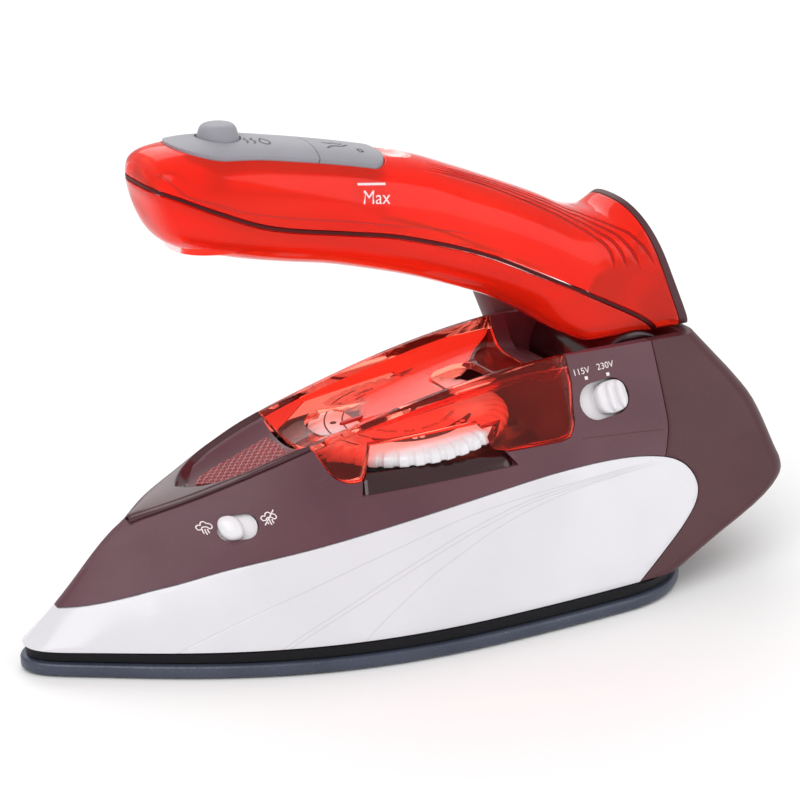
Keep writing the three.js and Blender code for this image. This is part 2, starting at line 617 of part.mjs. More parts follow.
// The cord's gland stands on the far side wall. It is open at its upper end.
const glandFoot = [65.3, 25, 52];
const glandMouth = [55.8, 26.5, 71];
part('cord_gland', cut(
  rod(glandFoot, glandMouth, 6.6, 18, 4.8), rod([63.3, 25.4, 57], [54.3, 26.8, 74], 3, 12),
  outerHull.translate([0, 0.45, 0]),
), 'softGrey');
const baseFeed = new THREE.CatmullRomCurve3([
  new THREE.Vector3(60, 9, 32), new THREE.Vector3(38, 14, 29), new THREE.Vector3(8, 14, 27),
  new THREE.Vector3(-16, 8, 22), new THREE.Vector3(-27, 1.5, 19),
]);
part('base_feed_tube', tube(baseFeed, 1.5, 12, 8), 'natural');

// ---------------------------------------------------------------- handle skin
// Rungs from the underside to the top: [bottom x, bottom z, top x, top z, half-width].
const HANDLE_RUNGS = [
  [-55.6, 115.4, -54.6, 121.6, 7.5], [-54.6, 112.6, -53.4, 123.4, 10.4], [-53.4, 108, -51, 124.6, 12.2],
  [-50.6, 103, -47.4, 125.2, 13.6], [-43.4, 99.6, -41.4, 125.6, 14.4], [-32, 96.2, -31, 124.9, 14.8],
  [-20.4, 93.6, -18, 122.7, 14.9], [-8.5, 91.3, -4.6, 120, 14.8], [3.5, 88.1, 7.5, 117.2, 14.6],
  [15.4, 84.5, 19, 114.3, 14.4], [26.6, 80.4, 30.4, 110, 14.4], [38.6, 75.5, 43, 104.8, 14.7],
  [48.8, 69.8, 53.6, 100.2, 15.1], [56.8, 64.6, 61.2, 96.4, 15.6], [63.6, 62.3, 66.4, 94.6, 16],
  [77.4, 62.3, 71.6, 93.8, 16.5], [92.6, 62.3, 77.6, 96.6, 16.8],
];
const ROOT_RUNGS = 4;               // rungs that stand on the flat foot of the handle

function handleRing(rung, index, inset, sides) {
  const [bx, bz, tx, tz, half] = rung;
  const low = new THREE.Vector3(bx, 0, bz);
  const high = new THREE.Vector3(tx, 0, tz);
  const reach = high.clone().sub(low);
  const up = reach.clone().normalize();
  const middle = low.clone().add(high).multiplyScalar(0.5);
  const tall = Math.max(reach.length() / 2 - inset, 0.6);
  const wide = Math.max(half - inset, 0.6);
  const root = THREE.MathUtils.clamp((index - (HANDLE_RUNGS.length - ROOT_RUNGS - 1)) / 2, 0, 1);
  const ring = [];
  for (let i = 0; i < sides; i += 1) {
    const angle = 2 * Math.PI * (i + 0.5) / sides;
    const power = Math.sin(angle) < 0 ? 2.4 + 7 * root : 2.5;
    const round = (value) => Math.sign(value) * Math.abs(value) ** (2 / power);
    const across = wide * round(Math.cos(angle));
    const along = tall * round(Math.sin(angle));
    ring.push(new THREE.Vector3(0, across, 0).addScaledVector(up, along).add(middle));
  }
  return ring;
}

function handleSkin(inset, sides, first = 0, last = HANDLE_RUNGS.length - 1) {
  const rings = [];
  HANDLE_RUNGS.forEach((rung, index) => {
    if (index >= first && index <= last) rings.push(handleRing(rung, index, inset, sides));
  });
  return loft(rings);
}

const handleOuter = handleSkin(0, 28);
const handleInner = handleSkin(HANDLE_WALL, 20, 1);

// The seam between the water tank above and the lower shell.
const seamLine = smoothLine([
  [-70, 120.6], [-62, 119], [-52.4, 116.2], [-41.4, 111.2], [-27.4, 105.6], [-7, 101.4], [7.9, 98.2],
  [30.2, 90.8], [48.3, 82.2], [67, 72.8], [78, 66.6], [84, 61], [90, 54],
], 24);
const overSeam = (offset) => sideways([...shifted(seamLine, offset), [120, 54], [120, 140], [-70, 140]]);
const underSeam = (offset) => sideways([...shifted(seamLine, offset), [90, 40], [-70, 40]].reverse());

// The rear rim lies in the plane that the iron stands on when it rests on its heel.
const rimLine = (depth) => [[95.4 - depth, 55.5], [75.4 - depth, 104.4]];
const behindRim = (depth) => sideways([...rimLine(depth), [130, 104.4], [130, 55.5]].reverse());

const drumSpace = rod([HINGE_X, -30, HINGE_Z], [HINGE_X, 30, HINGE_Z], DRUM_RADIUS + GAP, 36);
const RIM_DEPTH = 2.8;

// ---------------------------------------------------------------- handle: pad and flap outline
function padOutline(from, to, half, grow) {
  const front = from - grow;
  const rear = to + grow;
  const side = [];
  for (let i = 0; i <= 7; i += 1) {
    const angle = (Math.PI / 2) * (i / 7);
    side.push([front + 11 * (1 - Math.cos(angle)), (half + grow) * Math.sin(angle) ** 0.8]);
  }
  for (let i = 1; i <= 5; i += 1) {
    const angle = (Math.PI / 2) * (i / 5);
    side.push([rear - 6 + 6 * Math.sin(angle), half + grow - 6 * (1 - Math.cos(angle))]);
  }
  const far = side.slice(1).map(([x, y]) => [x, y]).reverse();
  return [...side.map(([x, y]) => [x, -y]), ...far];
}
const PAD_HALF = 11;
const padSpace = upwards(padOutline(PAD_FRONT, PAD_REAR, PAD_HALF, GAP), 100, 140);
const padBand = cut(handleSkin(-PAD_PROUD, 28), handleSkin(HANDLE_WALL, 20));
const padSolid = padBand.intersect(upwards(padOutline(PAD_FRONT, PAD_REAR, PAD_HALF, 0), 112, 140));
const flapLine = (x) => sideways([[x + 1.5, 125], [x - 1.5, 114], [-80, 114], [-80, 140], [x + 1.5, 140]]);

// ---------------------------------------------------------------- handle: shells
const thumbDish = new THREE.SphereGeometry(9, 16, 10);
thumbDish.translate(12.5, 0, 123.2);
const tank = cut(
  handleOuter.intersect(overSeam(SEAM_HALF)), handleInner, padSpace, solidOf(thumbDish),
  behindRim(RIM_DEPTH), drumSpace,
);
part('handle_tank', tank, 'redClear', handle);
const lowerShell = cut(
  handleOuter.intersect(underSeam(-SEAM_HALF)), handleInner, behindRim(RIM_DEPTH), drumSpace,
);
part('handle_lower_shell', lowerShell, 'redClear', handle);
const sealBand = overSeam(-SEAM_HALF + GAP).subtract(overSeam(SEAM_HALF - GAP));
const seal = cut(
  handleSkin(0.3, 24).intersect(sealBand), handleSkin(HANDLE_WALL - 0.2, 20, 1), behindRim(RIM_DEPTH),
  drumSpace,
);
part('tank_seal', seal, 'silicone', handle);
const tankFloorBand = overSeam(-2.6).subtract(overSeam(-1.2));
const tankFloor = cut(
  handleSkin(HANDLE_WALL + GAP, 18, 1).intersect(tankFloorBand), behindRim(RIM_DEPTH + 6),
  box(58, 100, -30, 30, 50, 90),
);
part('tank_floor', tankFloor, 'redClear', handle);
const rimNormal = new THREE.Vector3(48.9, 0, 20).normalize();
const onRim = (side, distance) => (
  new THREE.Vector3(89, side * 10, 71).addScaledVector(rimNormal, distance).toArray()
);
const rim = cut(
  joined(
    handleOuter.intersect(behindRim(RIM_DEPTH - GAP)),
    ...[-1, 1].map((side) => rod(onRim(side, -8), onRim(side, -2), 3, 14)),
  ),
  drumSpace,
  ...[-1, 1].flatMap((side) => [
    rod(onRim(side, -1.4), onRim(side, 3), 2.8, 14), rod(onRim(side, -6), onRim(side, 0), 1.5, 10),
  ]),
);
part('handle_rear_cover', rim, 'darkGloss', handle);

// ---------------------------------------------------------------- handle: pad, button, flap
const buttonHole = rod([BUTTON_X, 0, 110], [BUTTON_X, 0, 140], BUTTON_RADIUS + GAP, 24);
part('button_pad', cut(padSolid.intersect(flapLine(FLAP_SEAM - GAP)), buttonHole), 'softGrey', handle);
const flapToe = box(-40, FLAP_SEAM - 1.2, -20, 20, 100, 140);
part('filler_flap', cut(padSolid, flapLine(FLAP_SEAM), flapToe), 'softGrey', handle);
const buttonProfile = [[0, 119.5], [BUTTON_RADIUS, 119.5], [BUTTON_RADIUS, 125.4], [3.4, BUTTON_TOP - 0.5],
  [2.4, BUTTON_TOP], [0, BUTTON_TOP]];
const buttonCap = new THREE.LatheGeometry(buttonProfile.map(([r, z]) => new THREE.Vector2(r, z)), 24);
buttonCap.rotateX(Math.PI / 2);
buttonCap.translate(BUTTON_X, 0, 0);
const button = joined(solidOf(buttonCap), rod([BUTTON_X, 0, 113], [BUTTON_X, 0, 120], 2, 12));
part('steam_button', button, 'softGrey', handle);

class Helix extends THREE.Curve {
  constructor(radius, pitch, turns) {
    super();
    Object.assign(this, { radius, pitch, turns });
  }

  getPoint(t) {
    const angle = 2 * Math.PI * this.turns * t;
    const height = this.pitch * this.turns * t;
    return new THREE.Vector3(this.radius * Math.cos(angle), this.radius * Math.sin(angle), height);
  }
}
const springSection = new THREE.Shape();
springSection.absarc(0, 0, 0.35, 0, Math.PI * 2);
const springGeometry = new THREE.ExtrudeGeometry(springSection, {
  steps: 36, extrudePath: new Helix(3.3, 1.1, 3), bevelEnabled: false, curveSegments: 2.5,
});
springGeometry.translate(BUTTON_X, 0, 112.6);
part('button_spring', solidOf(springGeometry), 'steel', handle);
part('spray_pump', cut(
  rod([BUTTON_X, 0, 109.6], [BUTTON_X, 0, 112], 4.6, 16),
  rod([BUTTON_X, 0, 110.2], [BUTTON_X, 0, 113], 2.4, 12),
), 'natural', handle);

// ---------------------------------------------------------------- handle: hinge
const drum = cut(
  rod([HINGE_X, -DRUM_HALF_LENGTH, HINGE_Z], [HINGE_X, DRUM_HALF_LENGTH, HINGE_Z], DRUM_RADIUS, 36),
  pinHole,
);
part('hinge_drum', drum, 'darkGloss', handle);
part('hinge_pin', rod([HINGE_X, -21.5, HINGE_Z], [HINGE_X, 21.5, HINGE_Z], PIN_RADIUS, 20), 'steel');
const leafArc = (radius, from, to) => {
  const points = [];
  for (let i = 0; i <= 8; i += 1) {
    const angle = THREE.MathUtils.degToRad(from + (to - from) * i / 8);
    points.push([HINGE_X + radius * Math.cos(angle), HINGE_Z + radius * Math.sin(angle)]);
  }
  return points;
};
part('fold_spring', sideways([...leafArc(12.8, 230, 310), ...leafArc(12.2, 310, 230)], -6, 6), 'steel');
const handleFeed = new THREE.CatmullRomCurve3([
  new THREE.Vector3(-24, 0, 99), new THREE.Vector3(0, 0, 94.6), new THREE.Vector3(22, 0, 86.8),
  new THREE.Vector3(42, 0, 78.6), new THREE.Vector3(60, 0, 69),
]);
part('handle_feed_tube', tube(handleFeed, 1.5, 10, 8), 'natural', handle);
for (const [name, side] of [['left', -1], ['right', 1]]) {
  part(`handle_screw_${name}`, joined(
    rod(onRim(side, -1.1), onRim(side, -0.3), 2.4, 14), rod(onRim(side, -3.8), onRim(side, -0.8), 1.2, 10),
  ), 'steel', handle);
}
for (const [name, side] of [['hinge_washer_left', -1], ['hinge_washer_right', 1]]) {
  const y0 = side * (DRUM_HALF_LENGTH + GAP);
  const y1 = side * (WELL_HALF_WIDTH - GAP);
  part(name, cut(
    rod([HINGE_X, y0, HINGE_Z], [HINGE_X, y1, HINGE_Z], 8, 24),
    pinHole,
  ), 'steel', handle);
}

export default iron;
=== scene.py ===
# %% [markdown]
# # A folding travel iron
# The imported part is loaded first and never moved. Everything made below stands in its frame, in
# metres: the sole's face is z = 0, the nose points to -X and the sliders are on the -Y side.

# %% The imported part
import bpy
import json
import math
from mathutils import Matrix, Vector


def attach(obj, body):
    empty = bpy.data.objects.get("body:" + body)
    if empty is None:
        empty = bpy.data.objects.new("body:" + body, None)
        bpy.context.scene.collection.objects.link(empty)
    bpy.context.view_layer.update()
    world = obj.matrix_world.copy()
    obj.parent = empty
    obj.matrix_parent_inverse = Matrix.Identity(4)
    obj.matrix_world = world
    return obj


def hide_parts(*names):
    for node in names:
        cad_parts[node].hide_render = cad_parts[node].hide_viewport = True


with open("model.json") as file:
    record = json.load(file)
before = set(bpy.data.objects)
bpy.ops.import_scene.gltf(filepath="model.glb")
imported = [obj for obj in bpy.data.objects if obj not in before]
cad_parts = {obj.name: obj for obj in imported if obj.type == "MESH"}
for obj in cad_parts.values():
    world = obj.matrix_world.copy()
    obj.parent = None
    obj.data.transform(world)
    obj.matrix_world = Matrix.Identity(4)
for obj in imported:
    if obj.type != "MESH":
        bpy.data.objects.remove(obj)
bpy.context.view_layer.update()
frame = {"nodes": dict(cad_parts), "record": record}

MM = 0.001

# %% [markdown]
# ## Camera, floor and light
# A long lens from the front left and a little above shows the sliders, the dial and the handle at
# once. A white room with large soft lamps suits glossy and clear plastic: it gives long, quiet
# highlights, and the clear red parts have something bright behind them.

# %% Camera
TURN = math.radians(-29.46)
TILT = math.radians(19.964)
right = Vector((math.cos(TURN), math.sin(TURN), 0))
above = Vector((-math.sin(TURN) * math.sin(TILT), math.cos(TURN) * math.sin(TILT), math.cos(TILT)))
behind = right.cross(above)
bpy.ops.object.camera_add()
camera = bpy.context.object
camera.name = "camera"
camera.data.lens = 124.594
camera.data.sensor_width = 36
camera.data.clip_start = 0.01
turned = Matrix((right, above, behind)).transposed().to_4x4()
turned.translation = Vector((-309.633, -574.690, 290.412)) * MM
camera.matrix_world = turned
bpy.context.scene.camera = camera
bpy.context.scene.view_settings.view_transform = "Standard"
print("camera at", [round(v, 3) for v in camera.location])

# %% Floor
bpy.ops.mesh.primitive_plane_add(size=8, location=(0, 0, -0.0004))
floor = bpy.context.object
floor.name = "floor"
floor_paint = bpy.data.materials.new("pale_floor")
floor_paint.use_nodes = True
paint = floor_paint.node_tree.nodes["Principled BSDF"]
paint.inputs["Base Color"].default_value = (0.95, 0.95, 0.95, 1)
paint.inputs["Roughness"].default_value = 0.6
paint.inputs["Specular IOR Level"].default_value = 0.2
floor.data.materials.append(floor_paint)

# %% Lamps and room
def soft_lamp(name, place, aim, size, power):
    bpy.ops.object.light_add(type="AREA", location=place)
    lamp = bpy.context.object
    lamp.name = name
    lamp.data.shape = "RECTANGLE"
    lamp.data.size, lamp.data.size_y = size
    lamp.data.energy = power
    lamp.rotation_euler = (Vector(aim) - Vector(place)).to_track_quat("-Z", "Y").to_euler()

soft_lamp("key_lamp", (-0.75, -0.55, 1.0), (0, 0, 0.05), (1.0, 0.7), 6.5)
soft_lamp("side_lamp", (0.8, -0.9, 0.45), (0, 0, 0.05), (0.5, 0.9), 2.5)
soft_lamp("back_lamp", (0.3, 1.0, 0.9), (0, 0, 0.06), (1.2, 0.8), 5.5)
room = bpy.data.worlds.new("white_room")
bpy.context.scene.world = room
room.use_nodes = True
room.node_tree.nodes["Background"].inputs["Color"].default_value = (1, 1, 1, 1)
room.node_tree.nodes["Background"].inputs["Strength"].default_value = 0.74

# %% [markdown]
# ## Ways of working
# Most walls of the iron are soft curves that no primitive has. They start as a grid or a circle
# primitive whose points are set to a formula of the wall, and are finished with Solidify, Boolean
# and Bevel modifiers. A few small helpers keep the steps short.

# %% Helpers for modelling
def start():
    bpy.ops.object.select_all(action="DESELECT")


def only(piece):
    start()
    piece.select_set(True)
    bpy.context.view_layer.objects.active = piece


def in_edit(piece, *steps):
    only(piece)
    bpy.ops.object.mode_set(mode="EDIT")
    bpy.ops.mesh.select_all(action="SELECT")
    for step in steps:
        step()
    bpy.ops.object.mode_set(mode="OBJECT")


def weld():
    bpy.ops.mesh.remove_doubles(threshold=3e-6)


def outwards():
    bpy.ops.mesh.select_all(action="SELECT")
    bpy.ops.mesh.normals_make_consistent(inside=False)


def apply(piece, kind, **settings):
    only(piece)
    modifier = piece.modifiers.new(kind.lower(), kind)
    for name, value in settings.items():
        setattr(modifier, name, value)
    bpy.ops.object.modifier_apply(modifier=modifier.name)


def copy_of(piece, name):
    only(piece)
    bpy.ops.object.duplicate()
    twin = bpy.context.object
    twin.name = name
    return twin


def drop(*pieces):
    for piece in pieces:
        bpy.data.objects.remove(piece, do_unlink=True)


def cut(piece, *tools, way="DIFFERENCE"):
    for tool in tools:
        apply(piece, "BOOLEAN", object=tool, operation=way, solver="EXACT")
    return piece


def carve(piece, *tools, way="DIFFERENCE"):
    """A cut with tools that are not needed again."""
    cut(piece, *tools, way=way)
    drop(*tools)


def join(first, *others):
    only(first)
    for other in others:
        other.select_set(True)
    bpy.ops.object.join()
    return first


def flat_shape(name, outline, lift):
    """A closed outline of 3-D points in millimetres, filled and pushed out by lift."""
    start()
    bpy.ops.mesh.primitive_circle_add(vertices=len(outline), fill_type="NGON")
    piece = bpy.context.object
    piece.name = name
    for vertex, point in zip(piece.data.vertices, outline):
        vertex.co = Vector(point) * MM
    push = {"value": tuple(v * MM for v in lift)}
    in_edit(piece, lambda: bpy.ops.mesh.extrude_region_move(TRANSFORM_OT_translate=push), outwards)
    return piece


def side_prism(name, outline, y0=-60, y1=60):
    return flat_shape(name, [(x, y0, z) for x, z in outline], (0, y1 - y0, 0))


def plan_prism(name, outline, z0, z1):
    return flat_shape(name, [(x, y, z0) for x, y in outline], (0, 0, z1 - z0))


def shaped_grid(name, across, along, place):
    """A grid primitive whose points are moved to place(u, v), both from 0 to 1."""
    start()
    bpy.ops.mesh.primitive_grid_add(x_subdivisions=across, y_subdivisions=along, size=2)
    piece = bpy.context.object
    piece.name = name
    for vertex in piece.data.vertices:
        vertex.co = Vector(place((vertex.co.x + 1) / 2, (vertex.co.y + 1) / 2)) * MM
    in_edit(piece, weld)
    return piece


def ring_solid(name, rings):
    """A closed body through rings that have the same number of points."""
    count, last = len(rings[0]), len(rings) - 1
    piece = shaped_grid(name, count, last, lambda u, v: rings[round(v * last)][round(u * count) % count])
    in_edit(piece, lambda: bpy.ops.mesh.fill_holes(sides=0), outwards)
    return piece


def face_away_from(piece, inside):
    total = sum((f.center - Vector(inside) * MM).dot(f.normal) * f.area for f in piece.data.polygons)
    if total < 0:
        in_edit(piece, bpy.ops.mesh.flip_normals)


def thicken(piece, thickness):
    apply(piece, "SOLIDIFY", thickness=thickness * MM, offset=-1, use_even_offset=True)


def round_edges(piece, width, segments=2, angle=40):
    apply(piece, "BEVEL", width=width * MM, segments=segments, limit_method="ANGLE",
          angle_limit=math.radians(angle), use_clamp_overlap=True)


def drum(name, middle, radius, depth, axis=(0, 0, 1), sides=48, far_radius=None):
    start()
    far_radius = radius if far_radius is None else far_radius
    turn = Vector((0, 0, 1)).rotation_difference(Vector(axis)).to_euler()
    bpy.ops.mesh.primitive_cone_add(vertices=sides, radius1=radius * MM, radius2=far_radius * MM,
                                    depth=depth * MM, location=Vector(middle) * MM, rotation=turn)
    piece = bpy.context.object
    piece.name = name
    bpy.ops.object.transform_apply(location=True, rotation=True, scale=True)
    return piece


def word_mesh(name, text, size):
    """A word as a flat mesh, centred on the origin."""
    start()
    bpy.ops.object.text_add()
    bpy.context.object.data.body = text
    bpy.context.object.data.align_x = "CENTER"
    bpy.context.object.data.size = size * MM
    bpy.ops.object.convert(target="MESH")
    bpy.context.object.name = name
    return bpy.context.object


def done(piece, body, finish, slot, *nodes, angle=32):
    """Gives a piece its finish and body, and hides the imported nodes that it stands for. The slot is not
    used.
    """
    only(piece)
    bpy.ops.object.shade_smooth_by_angle(angle=math.radians(angle))
    piece.data.materials.clear()
    piece.data.materials.append(finishes[finish])
    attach(piece, body)
    if nodes:
        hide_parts(*nodes)
    print(piece.name, len(piece.data.polygons), "faces")
    return piece

# %% Smooth lines through a few points
def line(knots):
    """A function that passes through [a, value] knots without overshooting them."""
    xs = [a for a, value in knots]
    ys = [value for a, value in knots]
    steps = [(ys[i + 1] - ys[i]) / (xs[i + 1] - xs[i]) for i in range(len(xs) - 1)]
    slopes = [steps[0]]
    for before, after in zip(steps, steps[1:]):
        slopes.append(0 if before * after <= 0 else 2 * before * after / (before + after))
    slopes.append(steps[-1])

    def value(x):
        if x <= xs[0]:
            return ys[0]
        if x >= xs[-1]:
            return ys[-1]
        i = max(k for k in range(len(xs) - 1) if xs[k] <= x)
        h = xs[i + 1] - xs[i]
        t = (x - xs[i]) / h
        return ((1 + 2 * t) * (1 - t) ** 2 * ys[i] + t * (1 - t) ** 2 * h * slopes[i]
                + t * t * (3 - 2 * t) * ys[i + 1] + t * t * (t - 1) * h * slopes[i + 1])
    return value


def curve_through(points, steps):
    """A smooth path of steps + 1 points through the given points (Catmull-Rom)."""
    points = [Vector(p) for p in points]
    padded = [2 * points[0] - points[1], *points, 2 * points[-1] - points[-2]]
    path = []
    for k in range(steps + 1):
        s = k / steps * (len(points) - 1)
        i = min(int(s), len(points) - 2)
        t = s - i
        a, b, c, d = padded[i:i + 4]
        path.append(0.5 * (2 * b + (c - a) * t + (2 * a - 5 * b + 4 * c - d) * t * t
                           + (3 * b - a - 3 * c + d) * t ** 3))
    return path


def squarish(angle, power):
    """A point on a ring that is a circle at power 2 and comes nearer to a square above it."""
    return [math.copysign(abs(v) ** (2 / power), v) for v in (math.cos(angle), math.sin(angle))]

# %% [markdown]
# ## Finishes
# Every finish starts from the Principled shader and is kept under its name. Two node groups hold what
# they share: moulded grain, and the smears and dust of handling. The groups give only masks and
# heights, and each finish puts its own colours and amounts on them.

# %% Node helpers
finishes = {}


def feed(tree, socket, value):
    """Gives a socket a number, a colour or the output of another node."""
    if isinstance(value, bpy.types.NodeSocket):
        tree.links.new(value, socket)
    else:
        socket.default_value = (*value, 1) if isinstance(value, tuple) else value


def add_node(tree, kind, **sockets):
    node = tree.nodes.new("ShaderNode" + kind)
    for socket, value in sockets.items():
        feed(tree, node.inputs[socket.replace("_", " ")], value)
    return node


def finish_named(name, colour, roughness, **sockets):
    finishes[name] = paint = bpy.data.materials.new(name)
    paint.use_nodes = True
    paint.diffuse_color = (*colour, 1)
    tree = paint.node_tree
    shader = tree.nodes["Principled BSDF"]
    for socket, value in {"Base_Color": colour, "Roughness": roughness, **sockets}.items():
        feed(tree, shader.inputs[socket.replace("_", " ")], value)
    tree.nodes.new("ShaderNodeTexCoord").name = "where"
    return tree, shader


def sums(tree, operation, a, b=None):
    node = tree.nodes.new("ShaderNodeMath")
    node.operation = operation
    for socket, value in zip(node.inputs, (a, b)):
        if value is not None:
            feed(tree, socket, value)
    return node.outputs[0]


def blend_colours(tree, share, first, second):
    node = tree.nodes.new("ShaderNodeMix")
    node.data_type = "RGBA"
    for number, value in ((0, share), (6, first), (7, second)):
        feed(tree, node.inputs[number], value)
    return node.outputs[2]


def noise(tree, vector, scale, detail):
    return add_node(tree, "TexNoise", Vector=vector, Scale=scale, Detail=detail).outputs["Fac"]


def spread(tree, value, low, high, to_low=0.0, to_high=1.0):
    return add_node(tree, "MapRange", Value=value, From_Min=low, From_Max=high, To_Min=to_low,
                    To_Max=to_high).outputs["Result"]


def new_group(name, inputs, outputs):
    group = bpy.data.node_groups.new(name, "ShaderNodeTree")
    group.interface.new_socket("Vector", in_out="INPUT", socket_type="NodeSocketVector")
    for socket, value in inputs.items():
        made = group.interface.new_socket(socket, in_out="INPUT", socket_type="NodeSocketFloat")
        made.default_value = value
    for socket in outputs:
        group.interface.new_socket(socket, in_out="OUTPUT", socket_type="NodeSocketFloat")
    return group, group.nodes.new("NodeGroupInput").outputs, group.nodes.new("NodeGroupOutput").inputs


def place_group(tree, group, **values):
    node = tree.nodes.new("ShaderNodeGroup")
    node.node_tree = group
    feed(tree, node.inputs["Vector"], tree.nodes["where"].outputs["Object"])
    for socket, value in values.items():
        node.inputs[socket].default_value = value
    return node.outputs


def raise_surface(tree, shader, height, strength, distance=0.0004):
    bump = add_node(tree, "Bump", Strength=strength, Distance=distance, Height=height)
    feed(tree, shader.inputs["Normal"], bump.outputs["Normal"])

# %% Shared groups: moulded grain and handling
grain, entry, leave = new_group("moulded grain", {"Scale": 1800, "Pits": 0.5}, ["Height", "Tone"])
fine = noise(grain, entry["Vector"], entry["Scale"], 4)
pits = add_node(grain, "TexVoronoi", Vector=entry["Vector"], Scale=entry["Scale"])
pitted = sums(grain, "MULTIPLY", pits.outputs["Distance"], entry["Pits"])
feed(grain, leave["Height"], sums(grain, "ADD", fine, pitted))
feed(grain, leave["Tone"], spread(grain, noise(grain, entry["Vector"], 45, 3), 0.35, 0.65))

handling, entry, leave = new_group("handling", {"Smear": 90, "Dust": 2600}, ["Smears", "Dust"])
stretch = add_node(handling, "Mapping", Vector=entry["Vector"])
stretch.inputs["Scale"].default_value = (0.35, 1, 1)
streaks = noise(handling, stretch.outputs["Vector"], entry["Smear"], 5)
feed(handling, leave["Smears"], spread(handling, streaks, 0.45, 0.7))
specks = noise(handling, entry["Vector"], entry["Dust"], 1)
feed(handling, leave["Dust"], spread(handling, specks, 0.68, 0.74))
print("groups:", [g.name for g in bpy.data.node_groups])

# %% Moulded plastics, rubber, coatings, inks and metals
def moulded(name, colour, deep, roughness, scale, pits, relief, gloss=0.04, dust=0.05, **sockets):
    """An opaque finish: two tones, grain, smears in its gloss and a little dust."""
    tree, shader = finish_named(name, colour, roughness, **sockets)
    rough = place_group(tree, grain, Scale=scale, Pits=pits)
    used = place_group(tree, handling)
    toned = blend_colours(tree, rough["Tone"], colour, deep)
    pale = tuple(min(1, c + 0.25) for c in colour)
    dusty = blend_colours(tree, sums(tree, "MULTIPLY", used["Dust"], dust), toned, pale)
    feed(tree, shader.inputs["Base Color"], dusty)
    feed(tree, shader.inputs["Roughness"],
         spread(tree, used["Smears"], 0, 1, roughness - gloss, roughness + gloss))
    raise_surface(tree, shader, rough["Height"], relief)
    return tree, shader


def shade(r, g, b):
    """A colour as it is seen, from 0 to 255, turned into the linear numbers that shaders use."""
    return tuple(((v / 255 + 0.055) / 1.055) ** 2.4 if v > 10 else v / 3295 for v in (r, g, b))

MATT = {"Specular_IOR_Level": 0.2}
METAL = {"gloss": 0.08, "Metallic": 1.0, "Anisotropic": 0.4}
palette = [
    # name, colour, deeper tone, roughness, scale and pits of the grain, relief, what else it needs
    ("aubergine_satin", (97, 62, 71), (90, 56, 65), 0.38, 2600, 0.4, 0.05, {"Specular_IOR_Level": 0.3}),
    ("rear_brown", (83, 48, 53), (77, 43, 48), 0.4, 2600, 0.4, 0.05, {"Specular_IOR_Level": 0.28}),
    ("dark_gloss", (50, 18, 22), (42, 14, 18), 0.14, 900, 0.1, 0.012, {}),
    ("deck_plastic", (78, 44, 50), (66, 36, 42), 0.16, 1500, 0.2, 0.01, {}),
    # The next colour is painted shade: the housing's plastic darkened for the floor under the dial.
    ("well_floor_shade", (70, 30, 34), (56, 22, 26), 0.3, 1500, 0.2, 0.03, {}),
    ("white_gloss", (230, 228, 231), (224, 222, 226), 0.2, 1200, 0.1, 0.01, {}),
    ("soft_grey", (149, 147, 155), (141, 139, 147), 0.62, 3200, 1.0, 0.14,
     {"Sheen_Weight": 0.25, "Sheen_Roughness": 0.5}),
    ("gland_grey", (124, 100, 102), (112, 90, 92), 0.55, 2200, 0.8, 0.1, {}),
    ("seal_dark", (76, 12, 16), (64, 8, 12), 0.5, 2000, 0.5, 0.05, MATT),
    ("black_shield", (15, 15, 20), (12, 12, 16), 0.5, 2400, 0.9, 0.12, MATT),
    ("sole_coating", (70, 76, 92), (61, 67, 82), 0.34, 1900, 0.9, 0.16, {"dust": 0.25, "Metallic": 0.35}),
    ("natural_plastic", (214, 211, 204), (205, 201, 192), 0.45, 1400, 0.3, 0.05, {}),
    ("ceramic", (222, 214, 198), (206, 196, 178), 0.75, 1600, 1.0, 0.2, {}),
    ("ink_white", (236, 226, 228), (226, 214, 216), 0.5, 2600, 0.4, 0.05, {}),
    ("ink_black", (34, 24, 28), (28, 18, 22), 0.45, 2600, 0.4, 0.05, {}),
    # The next dark red is painted shade, for the lines in the handle's grooves and along its crease.
    ("groove_shade_red", (150, 14, 12), (138, 10, 10), 0.4, 2600, 0.4, 0.05, {}),
    ("ink_red", (196, 30, 26), (180, 22, 20), 0.4, 2600, 0.4, 0.05, {}),
    ("steel", (184, 186, 190), (170, 172, 176), 0.3, 1800, 0.3, 0.06, METAL),
    ("aluminium", (178, 180, 184), (160, 162, 168), 0.38, 1500, 0.3, 0.08, METAL),
    ("brass", (190, 154, 88), (168, 130, 70), 0.32, 1600, 0.3, 0.06, METAL),
]
for name, colour, deep, roughness, scale, holes, relief, more in palette:
    moulded(name, shade(*colour), shade(*deep), roughness, scale, holes, relief, **more)

# %% Clear plastics
def clear(name, colour, deep, roughness, through, ior, shadow, scale=30, relief=0.004):
    """Tinted clear plastic. Its shadow is tinted too, so what lies behind it stays lit."""
    tree, shader = finish_named(name, colour, roughness, IOR=ior, Transmission_Weight=through,
                                Specular_IOR_Level=0.25)
    rough = place_group(tree, grain, Scale=scale, Pits=0.0)
    used = place_group(tree, handling)
    feed(tree, shader.inputs["Base Color"], blend_colours(tree, rough["Tone"], colour, deep))
    feed(tree, shader.inputs["Roughness"],
         spread(tree, used["Smears"], 0, 1, roughness, roughness + 0.04))
    raise_surface(tree, shader, rough["Height"], relief, 0.001)
    light = tree.nodes.new("ShaderNodeLightPath").outputs["Is Shadow Ray"]
    tinted = add_node(tree, "BsdfTransparent", Color=shadow)
    mix = tree.nodes.new("ShaderNodeMixShader")
    for socket, value in zip(mix.inputs, (light, shader.outputs[0], tinted.outputs[0])):
        feed(tree, socket, value)
    feed(tree, tree.nodes["Material Output"].inputs["Surface"], mix.outputs[0])
    return tree, shader

